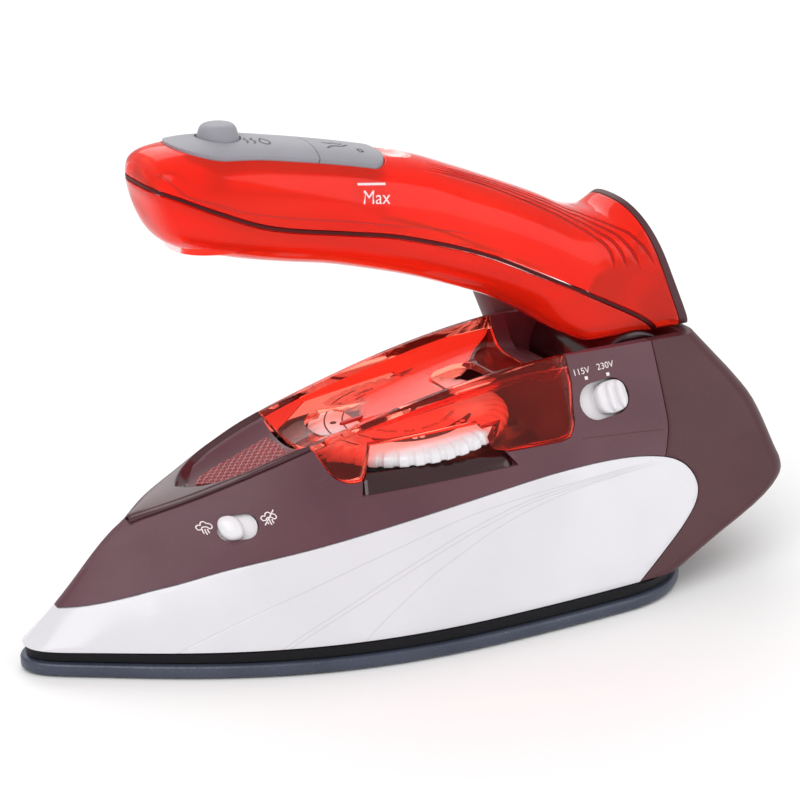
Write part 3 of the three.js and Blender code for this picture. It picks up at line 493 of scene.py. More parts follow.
clear("clear_red", (1.0, 0.05, 0.016), (0.99, 0.038, 0.012), 0.05, 0.68, 1.3, (1.0, 0.4, 0.34))
clear("cover_red", (1.0, 0.19, 0.13), (0.99, 0.16, 0.11), 0.03, 0.97, 1.24, (1.0, 0.7, 0.66))
clear("frosted_red", (0.96, 0.30, 0.26), (0.92, 0.24, 0.20), 0.35, 0.3, 1.35, (1.0, 0.5, 0.45),
      scale=900, relief=0.05)
lens_tree, lens_shader = clear("lens_red", shade(178, 96, 98), shade(166, 80, 84), 0.16, 0.35, 1.45,
                               (1.0, 0.5, 0.45))

# %% Skirt and lens
def engraved(name, swept, width=0.26, depth=0.2):
    """White plastic with fine grooves that sweep up its side, painted a darker grey as shade in them. Each
    line gives a height for a length.
    """
    tree, shader = moulded(name, shade(219, 217, 222), shade(215, 213, 218), 0.18, 1200, 0.1, 0.01)
    spot = add_node(tree, "SeparateXYZ", Vector=tree.nodes["where"].outputs["Object"]).outputs
    along = spread(tree, spot["X"], -0.060, 0.080)
    total = None
    for knots in swept:
        bend = add_node(tree, "FloatCurve", Value=along)
        curve = bend.mapping.curves[0]
        while len(curve.points) < len(knots):
            curve.points.new(0.5, 0.5)
        for point, (x, z) in zip(curve.points, knots):
            point.location = ((x + 60) / 140, z / 40)
        bend.mapping.update()
        height = sums(tree, "MULTIPLY", bend.outputs["Value"], 0.040)
        away = sums(tree, "ABSOLUTE", sums(tree, "SUBTRACT", spot["Z"], height))
        mask = spread(tree, away, 0.0, width * MM, 1.0, 0.0)
        first, last = knots[0][0], knots[-1][0]
        fade = spread(tree, spot["X"], (last - 16) * MM, last * MM, 1.0, 0.0)
        before = spread(tree, spot["X"], (first - 3) * MM, first * MM)
        mask = sums(tree, "MULTIPLY", sums(tree, "MULTIPLY", mask, fade), before)
        total = mask if total is None else sums(tree, "MAXIMUM", total, mask)
    # The grooves are also painted a darker grey, by the share depth: painted shade in the grooves.
    dusty = shader.inputs["Base Color"].links[0].from_socket
    feed(tree, shader.inputs["Base Color"],
         blend_colours(tree, sums(tree, "MULTIPLY", total, depth), dusty, shade(140, 138, 148)))
    bump = shader.inputs["Normal"].links[0].from_node.inputs
    grained = sums(tree, "MULTIPLY", bump["Height"].links[0].from_socket, 0.02)
    feed(tree, bump["Height"], sums(tree, "SUBTRACT", grained, total))
    bump["Strength"].default_value = 0.3
    bump["Distance"].default_value = 0.0002

engraved("skirt_white", [
    [(-60, 5.6), (-55.7, 7.8), (-29.6, 18.1), (2.4, 27.1), (20, 30.6), (46.5, 33.0), (78, 34.2)],
    [(-36.5, 5.8), (-33.2, 7.8), (-15.8, 15.8), (1.1, 22.3), (19.3, 28), (37.4, 31.6), (78, 33.6)],
    [(-35.3, 5.6), (-32, 7.4), (-14.6, 15.2), (2.3, 21.6), (20.5, 27.3), (38, 31.0), (78, 33.2)],
    [(-17, 5.6), (-14.2, 7.9), (-6.3, 13), (9, 20.8), (37, 29.8), (60, 32.6), (74, 33)],
])

# The lens has a diamond pattern: two sets of waves that cross at a right angle.
slanted = add_node(lens_tree, "Mapping", Vector=lens_tree.nodes["where"].outputs["Object"])
slanted.inputs["Rotation"].default_value = (0, 0, math.radians(45))
diamond = []
for direction in ("X", "Y"):
    wave = add_node(lens_tree, "TexWave", Vector=slanted.outputs["Vector"], Scale=210)
    wave.bands_direction = direction
    diamond.append(wave.outputs["Fac"])
crossed = sums(lens_tree, "MULTIPLY", *diamond)
raise_surface(lens_tree, lens_shader, crossed, 0.9, 0.0006)
plain = lens_shader.inputs["Base Color"].links[0].from_socket
share = spread(lens_tree, crossed, 0.3, 0.75, 0.0, 0.5)
feed(lens_tree, lens_shader.inputs["Base Color"],
     blend_colours(lens_tree, share, plain, shade(206, 74, 84)))
print("finishes:", len(finishes))

# %% [markdown]
# ## The body's outer form
# Seen from above the body is a pointed leaf. Its side wall is ruled from the leaf at the bottom up to
# a ridge on each side, with a soft bulge. One function gives the half-width of the wall for a place
# along the iron and a height, and every piece of the body is cut from the same form, so they meet.

# %% Wall of the body
BOTTOM, TOP, NOSE = 6.2, 62.0, -89.4
BELLY, SOLE_LENGTH = 115, 180
THICKNESS = 2.2
HINGE = Vector((75, 0, 52))
ridge_height = line([(-89.4, 6.2), (-80.4, 15.1), (-61.5, 33.4), (-43.8, 40.3), (-21.6, 47.9), (3.1, 54.4),
                     (22, 58.4), (39.8, 61), (52, TOP), (100, TOP)])
ridge_half = line([(-61.5, 1), (-54.4, 5), (-43.8, 8.8), (-33, 12), (-21.6, 14.1), (3.1, 15.9), (22, 17.1),
                   (39.8, 18.2), (52, 19), (78, 20), (92, 20.6)])
ridge_place = line([(6.2, -89.4), (15.1, -80.4), (33.4, -61.5), (40.3, -43.8), (47.9, -21.6), (54.4, 3.1),
                    (58.4, 22), (61, 39.8), (TOP, 52)])
heel_place = line([(3.5, 79.2), (22.4, 113.2), (24.6, 114.2), (27, 113.8), (29, 112.9), (43, 107.5),
                   (50, 102.6), (56, 97.6), (TOP, 92.6)])
heel_corner = line([(BOTTOM, 16), (28.5, 7), (TOP, 5)])


def leaf(run, widest):
    """Half the width at a distance from the tip: a round tip, a belly, and a slight taper behind it."""
    run = max(run, 0)
    belly = widest * (1 - (1 - min(run / BELLY, 1)) ** 2.386)
    taper = 3.5 * min(max((run - BELLY) / (SOLE_LENGTH - BELLY), 0), 1) ** 2
    return math.sqrt(belly ** 2 + 13 * run * math.exp(-run / 9)) - taper


def wall(x, z):
    """Half the width of the body. It is ruled from foot to ridge, with a soft bulge between them."""
    foot = leaf(x - NOSE, 42.6)
    s = (z - BOTTOM) / max(ridge_height(x) - BOTTOM, 1)
    bulge = 7.2 * max(s * (1 - s), 0) * min(1, foot / 20)
    return max(foot * (1 - s) + ridge_half(x) * s + bulge, 0.5)


def hull_ring(z, inset, side_steps, corner_steps):
    """The body's outline at one height, with rounded rear corners."""
    level = min(max(z, BOTTOM), TOP)
    front = ridge_place(level) + 1.6 * inset + 0.02
    rear = heel_place(level) - inset
    corner = heel_corner(level)
    side = []
    for i in range(side_steps + 1):
        x = front + (rear - corner - front) * (i / side_steps) ** 1.25
        side.append((x, max(wall(x, level) - inset, 0.4)))
    for i in range(1, corner_steps + 1):
        angle = math.pi / 2 * i / corner_steps
        x = rear - corner + corner * math.sin(angle)
        side.append((x, wall(x, level) - inset - corner * (1 - math.cos(angle))))
    return [(x, -y, z) for x, y in side] + [(x, y, z) for x, y in reversed(side)]

levels = [6.2, 7.5, 9, 11, 13, 15.1, 17, 19, 21, 22.4, 23.5, 24.6, 25.8, 27, 28, 29, 31, 33.4, 35, 37, 39, 41,
          43, 45, 47, 48.5, 50, 51.5, 53, 54.4, 56, 57, 58, 59, 60, 60.6, 61.2, 61.6, TOP]
hull = ring_solid("hull", [hull_ring(z, 0, 90, 10) for z in levels])
inner = ring_solid("inner_hull", [hull_ring(z, THICKNESS, 40, 5)
                                  for z in (4, 6.2, 12, 22, 26, 30, 36, 43, 50, 58.4)])
print("hull:", len(hull.data.polygons), "faces")

# %% The trough that the folded handle lies in
floor_height = line([(-60, 33.5), (-52, 35.9), (-42.7, 38.3), (-30, 41.4), (-19.8, 44.3), (-12.9, 46.4),
                     (3, 48.6), (24.6, 52.6), (39.8, 54.8), (46, 55.4), (51, 54.6), (58, 52.6)])


def trough_rings(x0, x1, sunk, wider, top, count=60):
    """Sections of the trough. They may be sunk and made wider, which leaves a wall of plastic."""
    rings = []
    for k in range(count + 1):
        x = x0 + (x1 - x0) * k / count
        low, crest = floor_height(x) - sunk, ridge_height(x) - sunk
        half = max(ridge_half(x) - 1.3 + wider, 0.3)
        steep = 2 + 4 * min(max((x + 20) / 64, 0), 1) ** 1.6
        shares = [i / 12 for i in range(-12, 13)]
        ring = [(x, half * s, low + (crest - low) * abs(s) ** steep) for s in shares]
        rings.append(ring + [(x, half + 0.01, top), (x, -half - 0.01, top)])
    return rings

trough = ring_solid("trough", trough_rings(-59, 58, 0, 0, 75))

# %% Outlines that split the body
skirt_line = [(p.x, p.y) for p in curve_through([(x, z, 0) for x, z in [
    (-96, 12.3), (-80.5, 14.5), (-63.2, 18.8), (-42, 24.3), (-12.3, 29.1), (20.3, 33.5), (44, 36.0),
    (61.4, 36.3), (73.9, 34.7), (80.5, 31.8), (83.5, 27), (82.6, 22.5), (77.9, 17.6), (70.2, 12), (60.6, 5.5),
]], 84)]


def moved(path, distance):
    """A line in the side view, moved to its left."""
    out = []
    for i, (x, z) in enumerate(path):
        a, b = path[max(i - 1, 0)], path[min(i + 1, len(path) - 1)]
        size = math.hypot(b[0] - a[0], b[1] - a[1])
        out.append((x - distance * (b[1] - a[1]) / size, z + distance * (b[0] - a[0]) / size))
    return out


def heel_outline(x):
    return [(x, 75), (x, 43), (x - 0.4, 40.6), (x - 1.1, 38.5), (x - 2.2, 35.6), (x - 3.7, 33), (56, 20),
            (56, -1), (125, -1), (125, 75)]


def bent(points, steps):
    return [(p.x, p.y) for p in curve_through([(x, z, 0) for x, z in points], steps)]

cover_edge = (bent([(-18, 49), (-15.4, 43.2), (-12.6, 41), (-8.8, 40.8), (-6.9, 42.6), (-4, 48)], 24)
              + [(24.8, 49.8), (27.2, 43.6), (31, 42.9), (45.9, 43.1)]
              + bent([(48.4, 43.7), (50.2, 46.4), (50.8, 50), (52, 56)], 12))
well_arc = [(HINGE.x + 13.2 * math.cos(a), HINGE.z + 13.2 * math.sin(a))
            for a in [math.pi * (1 + i / 24) for i in range(25)]]
well = side_prism("well", [(57, 75), (57, 53.2)] + well_arc + [(88.2, 75)], -17.5, 17.5)
skirt_region = side_prism("skirt_region", skirt_line + [(60, -1), (-96, -1)])
skirt_wide = side_prism("skirt_wide", moved(skirt_line, 0.3) + [(61, -1), (-97, -1)])
heel_region = side_prism("heel_region", heel_outline(78.0))
heel_wide = side_prism("heel_wide", heel_outline(77.7))
cover_region = side_prism("cover_region", cover_edge + [(52, 75), (-18, 75)])
cover_wide = side_prism("cover_wide", [(-18.3, 75), (-18.3, 49)] + moved(cover_edge, -0.3)[1:]
                        + [(52.3, 56), (52.3, 75)])

# %% [markdown]
# ## Skirt, rear cover and housing
# These three are moulded shells of the same form. Each is the walled body cut with the outline of its
# own region, and a fine bevel rounds the edges that the mould leaves, which is what makes the seams
# between them read as lines.

# %% Walled body, then skirt and rear cover
well_block = plan_prism("well_block", [(52.3, -19.5), (92, -19.5), (92, 19.5), (52.3, 19.5)], 36.5, 75)
nose_roof = ring_solid("nose_roof", trough_rings(-59, -18.3, 3.8, 1.3, 75, 24))
cavity = cut(copy_of(inner, "cavity"), well_block, nose_roof)
walls = cut(copy_of(hull, "walls"), trough, well, cavity)
skirt = cut(copy_of(walls, "skirt"), skirt_region, way="INTERSECT")
round_edges(skirt, 0.3)
done(skirt, "base", "skirt_white", "white_gloss", "white_skirt")
rear = cut(copy_of(walls, "rear_shell"), heel_region, way="INTERSECT")
cut(rear, skirt_wide)
heel_normal = Vector((1, 0, (112.9 - 107.5) / 14)).normalized()


def on_heel(y, z, out):
    return Vector((heel_place(z), y, z)) + heel_normal * out

for side in (-20, 20):
    carve(rear, drum("pocket", on_heel(side, 31.5, 1), 3.6, 4.4, heel_normal))
round_edges(rear, 0.35)
done(rear, "base", "rear_brown", "aubergine_satin", "rear_cover")

# %% Wall frame and slider openings
def wall_frame(x, z):
    """A point on the near wall, with the directions along it, up it and out of it."""
    slope_x = (wall(x + 1, z) - wall(x - 1, z)) / 2
    slope_z = (wall(x, z + 1) - wall(x, z - 1)) / 2
    n = Vector((-slope_x, -1, -slope_z)).normalized()
    u = Vector((1, -slope_x, 0)).normalized()
    v = n.cross(u)
    return Vector((x, -wall(x, z), z)), u, v, n


def stadium(name, frame_at, middle, length, height, low, high, turn, sides=12):
    """A bar with round ends that lies on the wall between two depths."""
    origin, u, v, n = frame_at
    r = height / 2
    straight = max(length / 2 - r, 0.05)
    points = []
    for end, begin in ((1, -math.pi / 2), (-1, math.pi / 2)):
        for i in range(sides + 1):
            angle = begin + math.pi * i / sides
            points.append((middle + end * straight + r * math.cos(angle), r * math.sin(angle)))
    turned_points = [(a * math.cos(turn) - b * math.sin(turn), a * math.sin(turn) + b * math.cos(turn))
                     for a, b in points]
    return flat_shape(name, [origin + u * a + v * b + n * low for a, b in turned_points], n * (high - low))

steam_frame, volt_frame = wall_frame(-39.6, 33), wall_frame(60.6, 50.8)
STEAM_TURN, VOLT_TURN = 0.12, 0.1
openings = [
    stadium("slot", steam_frame, 0, 10.2, 6.4, -8, 8, STEAM_TURN),
    stadium("slot", steam_frame, 0, 17.8, 8, -8, -1.3, STEAM_TURN),
    stadium("slot", volt_frame, 0, 14.8, 9.6, -6, 8, VOLT_TURN),
    stadium("slot", volt_frame, -1.3, 23.6, 11.4, -6, -1.9, VOLT_TURN),
]
notch_line = [(-9.2, 37.5), (32.7, 39.4), (28.4, 45), (25.8, 51), (-4.6, 51), (-7, 44.5)]
notch = [side_prism("notch", notch_line, -60, -19.5), side_prism("notch", notch_line, 19.5, 60),
         side_prism("notch", [(-8.2, 40), (31, 40), (25.8, 51), (-4.6, 51)])]
deck_space = ring_solid("deck_space", [[(x, -ridge_half(x) - 4, ridge_height(x) - 0.95),
                                        (x, ridge_half(x) + 4, ridge_height(x) - 0.95),
                                        (x, ridge_half(x) + 4, 80), (x, -ridge_half(x) - 4, 80)]
                                       for x in [-61.6 + k * 43.9 / 40 for k in range(41)]])

# %% Housing
housing = cut(copy_of(walls, "housing"), skirt_wide, heel_wide, cover_wide, deck_space, *notch, *openings)
round_edges(housing, 0.35)
tray = cut(copy_of(inner, "tray"), skirt_wide, heel_wide)
tray_box = plan_prism("tray_box", [(-16, -60), (52, -60), (52, 60), (-16, 60)], 33.8, 35.8)
cut(tray, tray_box, way="INTERSECT")
# The tray's dark colour is painted shade: the housing's plastic darkened for the shade under the dial.
done(tray, "base", "well_floor_shade", "aubergine_satin")
done(housing, "base", "aubergine_satin", "aubergine_satin", "main_housing")

# %% [markdown]
# ## Finger ledge
# Under the dial's edge the wall is cut away, so that a finger can turn the dial. A glossy ledge with
# a rolled lip closes the bottom of that notch. It is one cross-section swept along the wall: a grid
# whose rows follow the wall, closed at both ends.

# %% Finger ledges on both sides
def ledge(name, side):
    """The ledge's section, as depth in the wall and height, swept along the notch and tapered."""
    profile = [(0.6, 36.6), (0.5, 38.2), (0.7, 40.6), (1.0, 41.5), (1.6, 41.9), (2.3, 41.6), (2.7, 40.8),
               (3.2, 39.6), (5.4, 38.4), (8.4, 37.6), (8.4, 36.2), (2, 36.2)]
    rings = []
    for k in range(41):
        x = -8.6 + k * 40.6 / 40
        end = min(1, (x + 8.7) / 2.4, (32.2 - x) / 2.6)
        lift = math.sqrt(max(1 - (1 - end) ** 2, 0))
        rings.append([(x, side * (wall(x, z) - depth), 36.2 + (z - 36.2) * (0.35 + 0.65 * lift))
                      for depth, z in profile])
    # The dark gloss is darker than the housing plastic that the ledge belongs to: painted shade under the
    # dial.
    done(ring_solid(name, rings), "base", "dark_gloss", "aubergine_satin", angle=50)

ledge("finger_ledge_near", -1)
ledge("finger_ledge_far", 1)

# %% [markdown]
# ## Nose deck and lens
# The deck closes the top of the nose. It is one sheet with a soft rounded rim that laps over both
# walls, and a hollow for the lamp's lens that opens towards the dial cover. A grid gives the sheet,
# with its height worked out across the nose.

# %% Nose deck
DECK_FRONT, DECK_LENGTH = -61.2, 42.9
hollow_half = line([(-48, 0.2), (-46.2, 3.4), (-43.5, 6.2), (-40, 8.6), (-37, 10.0), (-34, 11.2), (-28, 12.4),
                    (-18, 13.9)])


def deck_height(x, y):
    """The deck's crowned top with its rounded rim. Behind x = -48 the lens's hollow sinks into it."""
    half = ridge_half(x) + 0.1
    crest = ridge_height(x)
    crown = 0.35 * (1 - min(abs(y) / half, 1) ** 2)
    edge = min(max((abs(y) - half + 1.1) / 1.1, 0), 1)
    rim = 0.45 - 1.1 * edge ** 2.4
    if x < -48:
        return crest + crown + rim
    share = min(abs(y) / hollow_half(x), 1)
    depth = crest - floor_height(x) + 0.3 * (x > -40)
    fall = 1 - share ** (2.2 + 1.6 * min((x + 48) / 12, 1))
    return crest + (crown + rim) * (1 - fall) - depth * fall * min(1, (x + 48) / 4)


def deck_point(u, v):
    x = DECK_FRONT + DECK_LENGTH * v ** 0.9
    half = ridge_half(x) + 0.1
    y = half * math.sin((u - 0.5) * math.pi)
    return x, y, deck_height(x, y)

deck = shaped_grid("nose_deck_sheet", 64, 110, deck_point)
face_away_from(deck, (-35, 0, 0))
thicken(deck, 1.5)
round_edges(deck, 0.25, angle=60)
done(deck, "base", "deck_plastic", "dark_gloss", "nose_deck", angle=45)

# %% Lamp lens
LENS_FRONT, LENS_LENGTH = -42.6, 22.4
lens_side = line([(LENS_FRONT, 0.3), (-41.6, 1.7), (-39, 3.2), (-36, 4.3), (-30, 5.6), (-20.2, 6.7)])


def lens_point(u, v):
    x = LENS_FRONT + LENS_LENGTH * v ** 1.3
    y = lens_side(x) * math.sin((u - 0.5) * math.pi)
    crowned = 0.5 * (1 - (y / 7) ** 2)
    return x, y, deck_height(x, y * 0.35) + 0.25 + 0.9 * v + crowned

lens = shaped_grid("lamp_lens_cap", 40, 60, lens_point)
face_away_from(lens, (-32, 0, 0))
thicken(lens, 1.1)
round_edges(lens, 0.3, 3, 60)
done(lens, "base", "lens_red", "lens_red", "lamp_lens", angle=50)

# %% [markdown]
# ## Clear dial cover
# The red cover bridges the housing over the dial and is thick enough for its edges to glow. It is
# hollowed with the same trough formula, then two windows let a finger touch the dial from above.

# %% Dial cover
def window(x0, x1, half, corner):
    points = []
    for cx, cy, turn_at in ((x1 - corner, half - corner, 0), (x0 + corner, half - corner, 1),
                            (x0 + corner, corner - half, 2), (x1 - corner, corner - half, 3)):
        for i in range(9):
            angle = math.pi / 2 * (turn_at + i / 8)
            points.append((cx + corner * math.cos(angle), cy + corner * math.sin(angle)))
    return points

DIAL_TILT = math.radians(6.6)
dial_middle = Vector((16.8, 0, 46.9))
dial_up = Vector((-math.sin(DIAL_TILT), 0, math.cos(DIAL_TILT)))
dial_front = Vector((math.cos(DIAL_TILT), 0, math.sin(DIAL_TILT)))


def on_dial(r, angle, depth=0.0):
    """A point on the dial: its distance from the middle, its direction and how deep it lies."""
    return (dial_middle + dial_front * (r * math.cos(angle)) + Vector((0, r * math.sin(angle), 0))
            - dial_up * depth)

cover_cuts = [
    ring_solid("under_trough", trough_rings(-30, 58, 1.8, 1.0, 75, 40)),
    plan_prism("front_window", window(-10.2, 1.3, 7.5, 4), 40, 70),
    plan_prism("rear_window", window(26.5, 39.8, 8, 5), 44, 70),
    drum("dial_room", dial_middle - dial_up * 2, 26.2, 5.4, dial_up, 96),
]

cover_inside = cut(copy_of(inner, "cover_inside"), cover_cuts[0])
cover = cut(copy_of(hull, "dial_cover_shell"), cover_region, way="INTERSECT")
cut(cover, trough)
carve(cover, cover_inside, *cover_cuts[1:])
round_edges(cover, 0.3)
done(cover, "base", "cover_red", "clear_red", "dial_cover")
drop(cover_cuts[0])

# %% Pointer on the front window
pointer_outline = [(-3.6, -1.9, 47.7), (-2.6, -2.7, 47.8), (2.0, -2.9, 48.5), (3.2, -2.2, 48.7),
                   (2.0, -1.4, 48.5), (-2.6, -1.2, 47.8)]
pointer = flat_shape("dial_pointer", pointer_outline, (0, 0, 0.9))
round_edges(pointer, 0.3, 2, 30)
done(pointer, "base", "ink_red", "clear_red", angle=40)

# %% [markdown]
# ## Temperature dial
# The dial is a white disc with forty finger grooves that run out over its shoulder. One grid is wrapped
# round the axis, with the grooves sunk by a wave in the angle that fades towards the top face.

# %% Dial body
KNURLS = 40
UNDERSIDE = 1.8
# The section of the disc: distance from the middle and depth under the top face, in millimetres.
dial_path = [(0.0, 0.0), (8, 0.0), (16, 0.0), (20, 0.0), (22.2, 0.02), (23.2, 0.12), (24.1, 0.38),
             (24.9, 0.85), (25.4, 1.4), (25.7, 2.1), (25.8, 2.8), (25.8, 3.3), (25.5, 3.6), (23.6, 3.6),
             (23.4, UNDERSIDE), (5.2, UNDERSIDE), (5.0, 7.0), (2.8, 7.0), (2.6, 2.2), (0.0, 2.2)]


def dial_point(u, v):
    r, depth = dial_path[round(v * (len(dial_path) - 1))]
    angle = 2 * math.pi * u
    wave = max(0.0, math.cos(KNURLS * angle)) ** 0.7
    shoulder = r > 21 and depth < 3.61 and depth != UNDERSIDE
    share = min(max((r - 21.6) / 2.6, 0), 1) if shoulder else 0
    return on_dial(r - 0.75 * wave * share, angle, depth + 0.25 * wave * share * (depth < 1))

dial = shaped_grid("dial_disc", KNURLS * 12, len(dial_path) - 1, dial_point)
in_edit(dial, outwards)
done(dial, "dial", "white_gloss", "white_gloss", "temperature_dial", angle=38)

# %% Marks on the dial
def ring_mark(name, r0, r1, from_turn, to_turn, steps=60, taper=0.0, sink=-0.03):
    """A printed arc on the dial's face, from one angle to another. It may narrow to both ends."""
    def at(u, v):
        swell = 1 - taper * abs(2 * v - 1) ** 2
        middle = (r0 + r1) / 2
        angle = math.radians(from_turn + (to_turn - from_turn) * v)
        return on_dial(middle + (u - 0.5) * (r1 - r0) * swell, angle, sink)
    return shaped_grid(name, 2, steps, at)


def printed(text, r, turn_at, height, way):
    """A word round the dial. Its foot is towards the middle if way is 1, towards the rim if it is -1."""
    word = word_mesh(f"dial_word_{text.lower()}", text, height)
    for vertex in word.data.vertices:
        a, b = vertex.co.x / MM, vertex.co.y / MM
        vertex.co = on_dial(r + way * b, math.radians(turn_at) - way * a / r, -0.04) * MM
    done(word, "dial", "ink_black", "white_gloss", angle=10)

for name, r in (("dial_arc_outer", 21.0), ("dial_arc_inner", 16.4)):
    done(ring_mark(name, r - 0.2, r + 0.2, 100, 206), "dial", "ink_black", "white_gloss")
done(ring_mark("dial_heat_band", 14.6, 18.4, -152, -44, taper=0.8), "dial", "ink_black", "white_gloss")
for i, (turn_at, count) in enumerate(((-136, 1), (-112, 2), (-74, 3))):
    for k in range(count):
        spot = on_dial(16.5, math.radians(turn_at + 6.4 * k), -0.06)
        dot = drum(f"dial_heat_dot_{i}_{k}", spot, 0.72, 0.05, dial_up, 20)
        done(dot, "dial", "white_gloss", "white_gloss")
off_dot = drum("dial_off_dot", on_dial(18.8, math.radians(157), -0.05), 0.85, 0.06, dial_up, 24)
done(off_dot, "dial", "ink_black", "white_gloss")
for text, turn_at in (("NYLON", -146), ("SILK", -116), ("WOOL", -88), ("COTTON", -54)):
    printed(text, 12.2, turn_at, 1.75, -1)
for text, turn_at in (("LINEN", 98), ("MAX", 122)):
    printed(text, 17.6, turn_at, 2.1, 1)

# %% [markdown]
# ## Slide switches
# Both slide in a hollow of the side wall. The steam switch has a smooth pear-shaped knob, the voltage
# switch a wide one with two finger ribs. The knobs are lofted from outlines on the wall's own frame.

# %% Steam switch
def knob_rings(frame_at, middle, outline, turn, layers):
    """Rings of a knob: each layer has a height above the wall and how far its outline is drawn in."""
    origin, u, v, n = frame_at
    rings = []
    for height, inset in layers:
        ring = []
        for a, b in outline:
            size = math.hypot(a, b)
            keep = max(size - inset, 0.05) / size
            p, q = a * keep + middle, b * keep
            ring.append(origin + u * (p * math.cos(turn) - q * math.sin(turn))
                        + v * (p * math.sin(turn) + q * math.cos(turn)) + n * height)
        rings.append(ring)
    return rings


def oval(length, height, power=2.6, count=56, lean=0.0):
    points = []
    for i in range(count):
        angle = 2 * math.pi * i / count
        a, b = squarish(angle, power)
        points.append((length / 2 * a + lean * (height / 2 * b), height / 2 * b))
    return points

plate = stadium("steam_switch_plate", steam_frame, -1.9, 13.4, 6.9, -2.8, -1.5, STEAM_TURN, 20)
knob = ring_solid("steam_switch_knob", knob_rings(
    steam_frame, -1.7, oval(5.9, 6.1, 2.3, lean=-0.25), STEAM_TURN,
    [(-2.0, 0), (0.6, 0), (1.3, 0.15), (1.8, 0.5), (2.15, 1.1), (2.3, 2.0)]))
join(plate, knob)
done(plate, "steam_control", "white_gloss", "white_gloss", "steam_slider", angle=50)

# %% Voltage switch
plate = stadium("voltage_switch_plate", volt_frame, 1.3, 17.6, 10.2, -3.7, -2.5, VOLT_TURN, 20)
knob = ring_solid("voltage_switch_knob", knob_rings(
    volt_frame, 2.6, oval(8.8, 8.4, 2.8), VOLT_TURN,
    [(-3.0, 0), (-0.6, 0), (-0.1, 0.25), (0.15, 0.8), (0.2, 1.6)]))
ribs = [ring_solid("rib", knob_rings(volt_frame, middle, oval(1.9, 7.4, 2.4), VOLT_TURN,
                                     [(-0.4, 0), (0.7, 0.05), (1.15, 0.35), (1.3, 0.75)]))
        for middle in (1.6, 4.6)]
join(plate, knob, *ribs)
done(plate, "voltage_control", "white_gloss", "white_gloss", "voltage_slider", angle=50)

# %% [markdown]
# ## Marks on the wall
# The marks are printed in pale ink: a steam cloud, the same cloud crossed out, and the two voltages.
# Each is drawn flat, made a mesh, and then every point is laid on the wall's formula.

# %% Laying a flat drawing on the wall
LEAN = 0.86


def lay_on_wall(piece, x, z, turn=0.0, lift=0.05):
    """Lays a drawing on the near wall. The wall leans, so a drawing is less tall than on paper."""
    for vertex in piece.data.vertices:
        a, b = vertex.co.x / MM, vertex.co.y / MM
        px = x + a * math.cos(turn) - b * math.sin(turn)
        pz = z + (a * math.sin(turn) + b * math.cos(turn)) * LEAN
        vertex.co = Vector((px, -wall(px, pz) - lift, pz)) * MM


def stroke(name, points, width, steps=40, closed=False):
    """A flat pen stroke through points in millimetres, as a grid along a smooth path."""
    points = [Vector((a, b, 0)) for a, b in points]
    if closed:
        points = [*points, points[0]]
    path = curve_through(points, steps)

    def at(u, v):
        i = round(v * steps)
        a = path[i - 1] if i else (path[-2] if closed else path[0])
        b = path[i + 1] if i < steps else (path[1] if closed else path[-1])
        along = (b - a).normalized()
        return path[i] + Vector((-along.y, along.x, 0)) * (u - 0.5) * width
    return shaped_grid(name, 1, steps, at)

CLOUD_SIZE = 0.78


def cloud(name, x, z, crossed):
    outline = [(-2.0, 0.2), (-2.3, 1.0), (-1.6, 1.6), (-0.9, 1.5), (-0.6, 2.2), (0.3, 2.5), (1.0, 1.9),
               (1.7, 1.7), (2.2, 1.1), (2.0, 0.4), (1.3, 0.2), (0.9, 0.7), (0.2, 0.9), (-0.6, 0.8),
               (-1.1, 0.2)]
    marks = [stroke(name, outline, 0.34, 90, True)]
    for a, low in ((-0.75, -1.1), (0.0, -1.5), (0.75, -1.1)):
        marks.append(stroke("jet", [(a, 0.25), (a - 0.12, -0.4), (a + 0.05, low)], 0.36, 8))
    if crossed:
        marks.append(stroke("bar", [(-1.9, -1.3), (0.1, 0.8), (2.1, 3.0)], 0.36, 12))
    piece = join(*marks)
    for vertex in piece.data.vertices:
        vertex.co *= CLOUD_SIZE
    lay_on_wall(piece, x, z, STEAM_TURN)
    done(piece, "base", "ink_white", "aubergine_satin", angle=10)

cloud("steam_on_mark", -46.6, 32.5, False)
cloud("steam_off_mark", -32.2, 34.3, True)

for name, text, x, z in (("mark_low_volts", "115V", 55.6, 57.2), ("mark_high_volts", "230V", 62.8, 57.6)):
    word = word_mesh(name, text, 2.4)
    lay_on_wall(word, x, z, 0.05)
    done(word, "base", "ink_white", "aubergine_satin", angle=10)
for i, x in enumerate((56.6, 63.0)):
    dot = stroke("volt_dot", [(-0.45, 0), (0, 0), (0.45, 0)], 0.9, 4)
    dot.name = f"volt_dot_{i}"
    lay_on_wall(dot, x, 56.2)
    done(dot, "base", "ink_white", "aubergine_satin")

# %% [markdown]
# ## Handle
# The handle is a fat curved tube, drawn as rungs from its underside to its top. Smooth curves through
# the rungs give as many rings as are wanted, and each ring is a squarish oval. The clear tank and the
# clear lower shell are the same form, parted at the seam.

# %% Handle form
rungs = [
    [-55.6, 115.4, -54.6, 121.6, 7.5], [-54.6, 112.6, -53.4, 123.4, 10.4], [-53.4, 108, -51, 124.6, 12.2],
    [-50.6, 103, -47.4, 125.2, 13.6], [-43.4, 99.6, -41.4, 125.6, 14.4], [-32, 96.2, -31, 124.9, 14.8],
    [-20.4, 93.6, -18, 122.7, 14.9], [-8.5, 91.3, -4.6, 120, 14.8], [3.5, 88.1, 7.5, 117.2, 14.6],
    [15.4, 84.5, 19, 114.3, 14.4], [26.6, 80.4, 30.4, 110, 14.4], [38.6, 75.5, 43, 104.8, 14.7],
    [48.8, 69.8, 53.6, 100.2, 15.1], [56.8, 64.6, 61.2, 96.4, 15.6], [63.6, 62.3, 66.4, 94.6, 16],
    [77.4, 62.3, 71.6, 93.8, 16.5], [92.6, 62.3, 77.6, 96.6, 16.8],
]
rung_lines = [line([(i, rung[k]) for i, rung in enumerate(rungs)]) for k in range(5)]


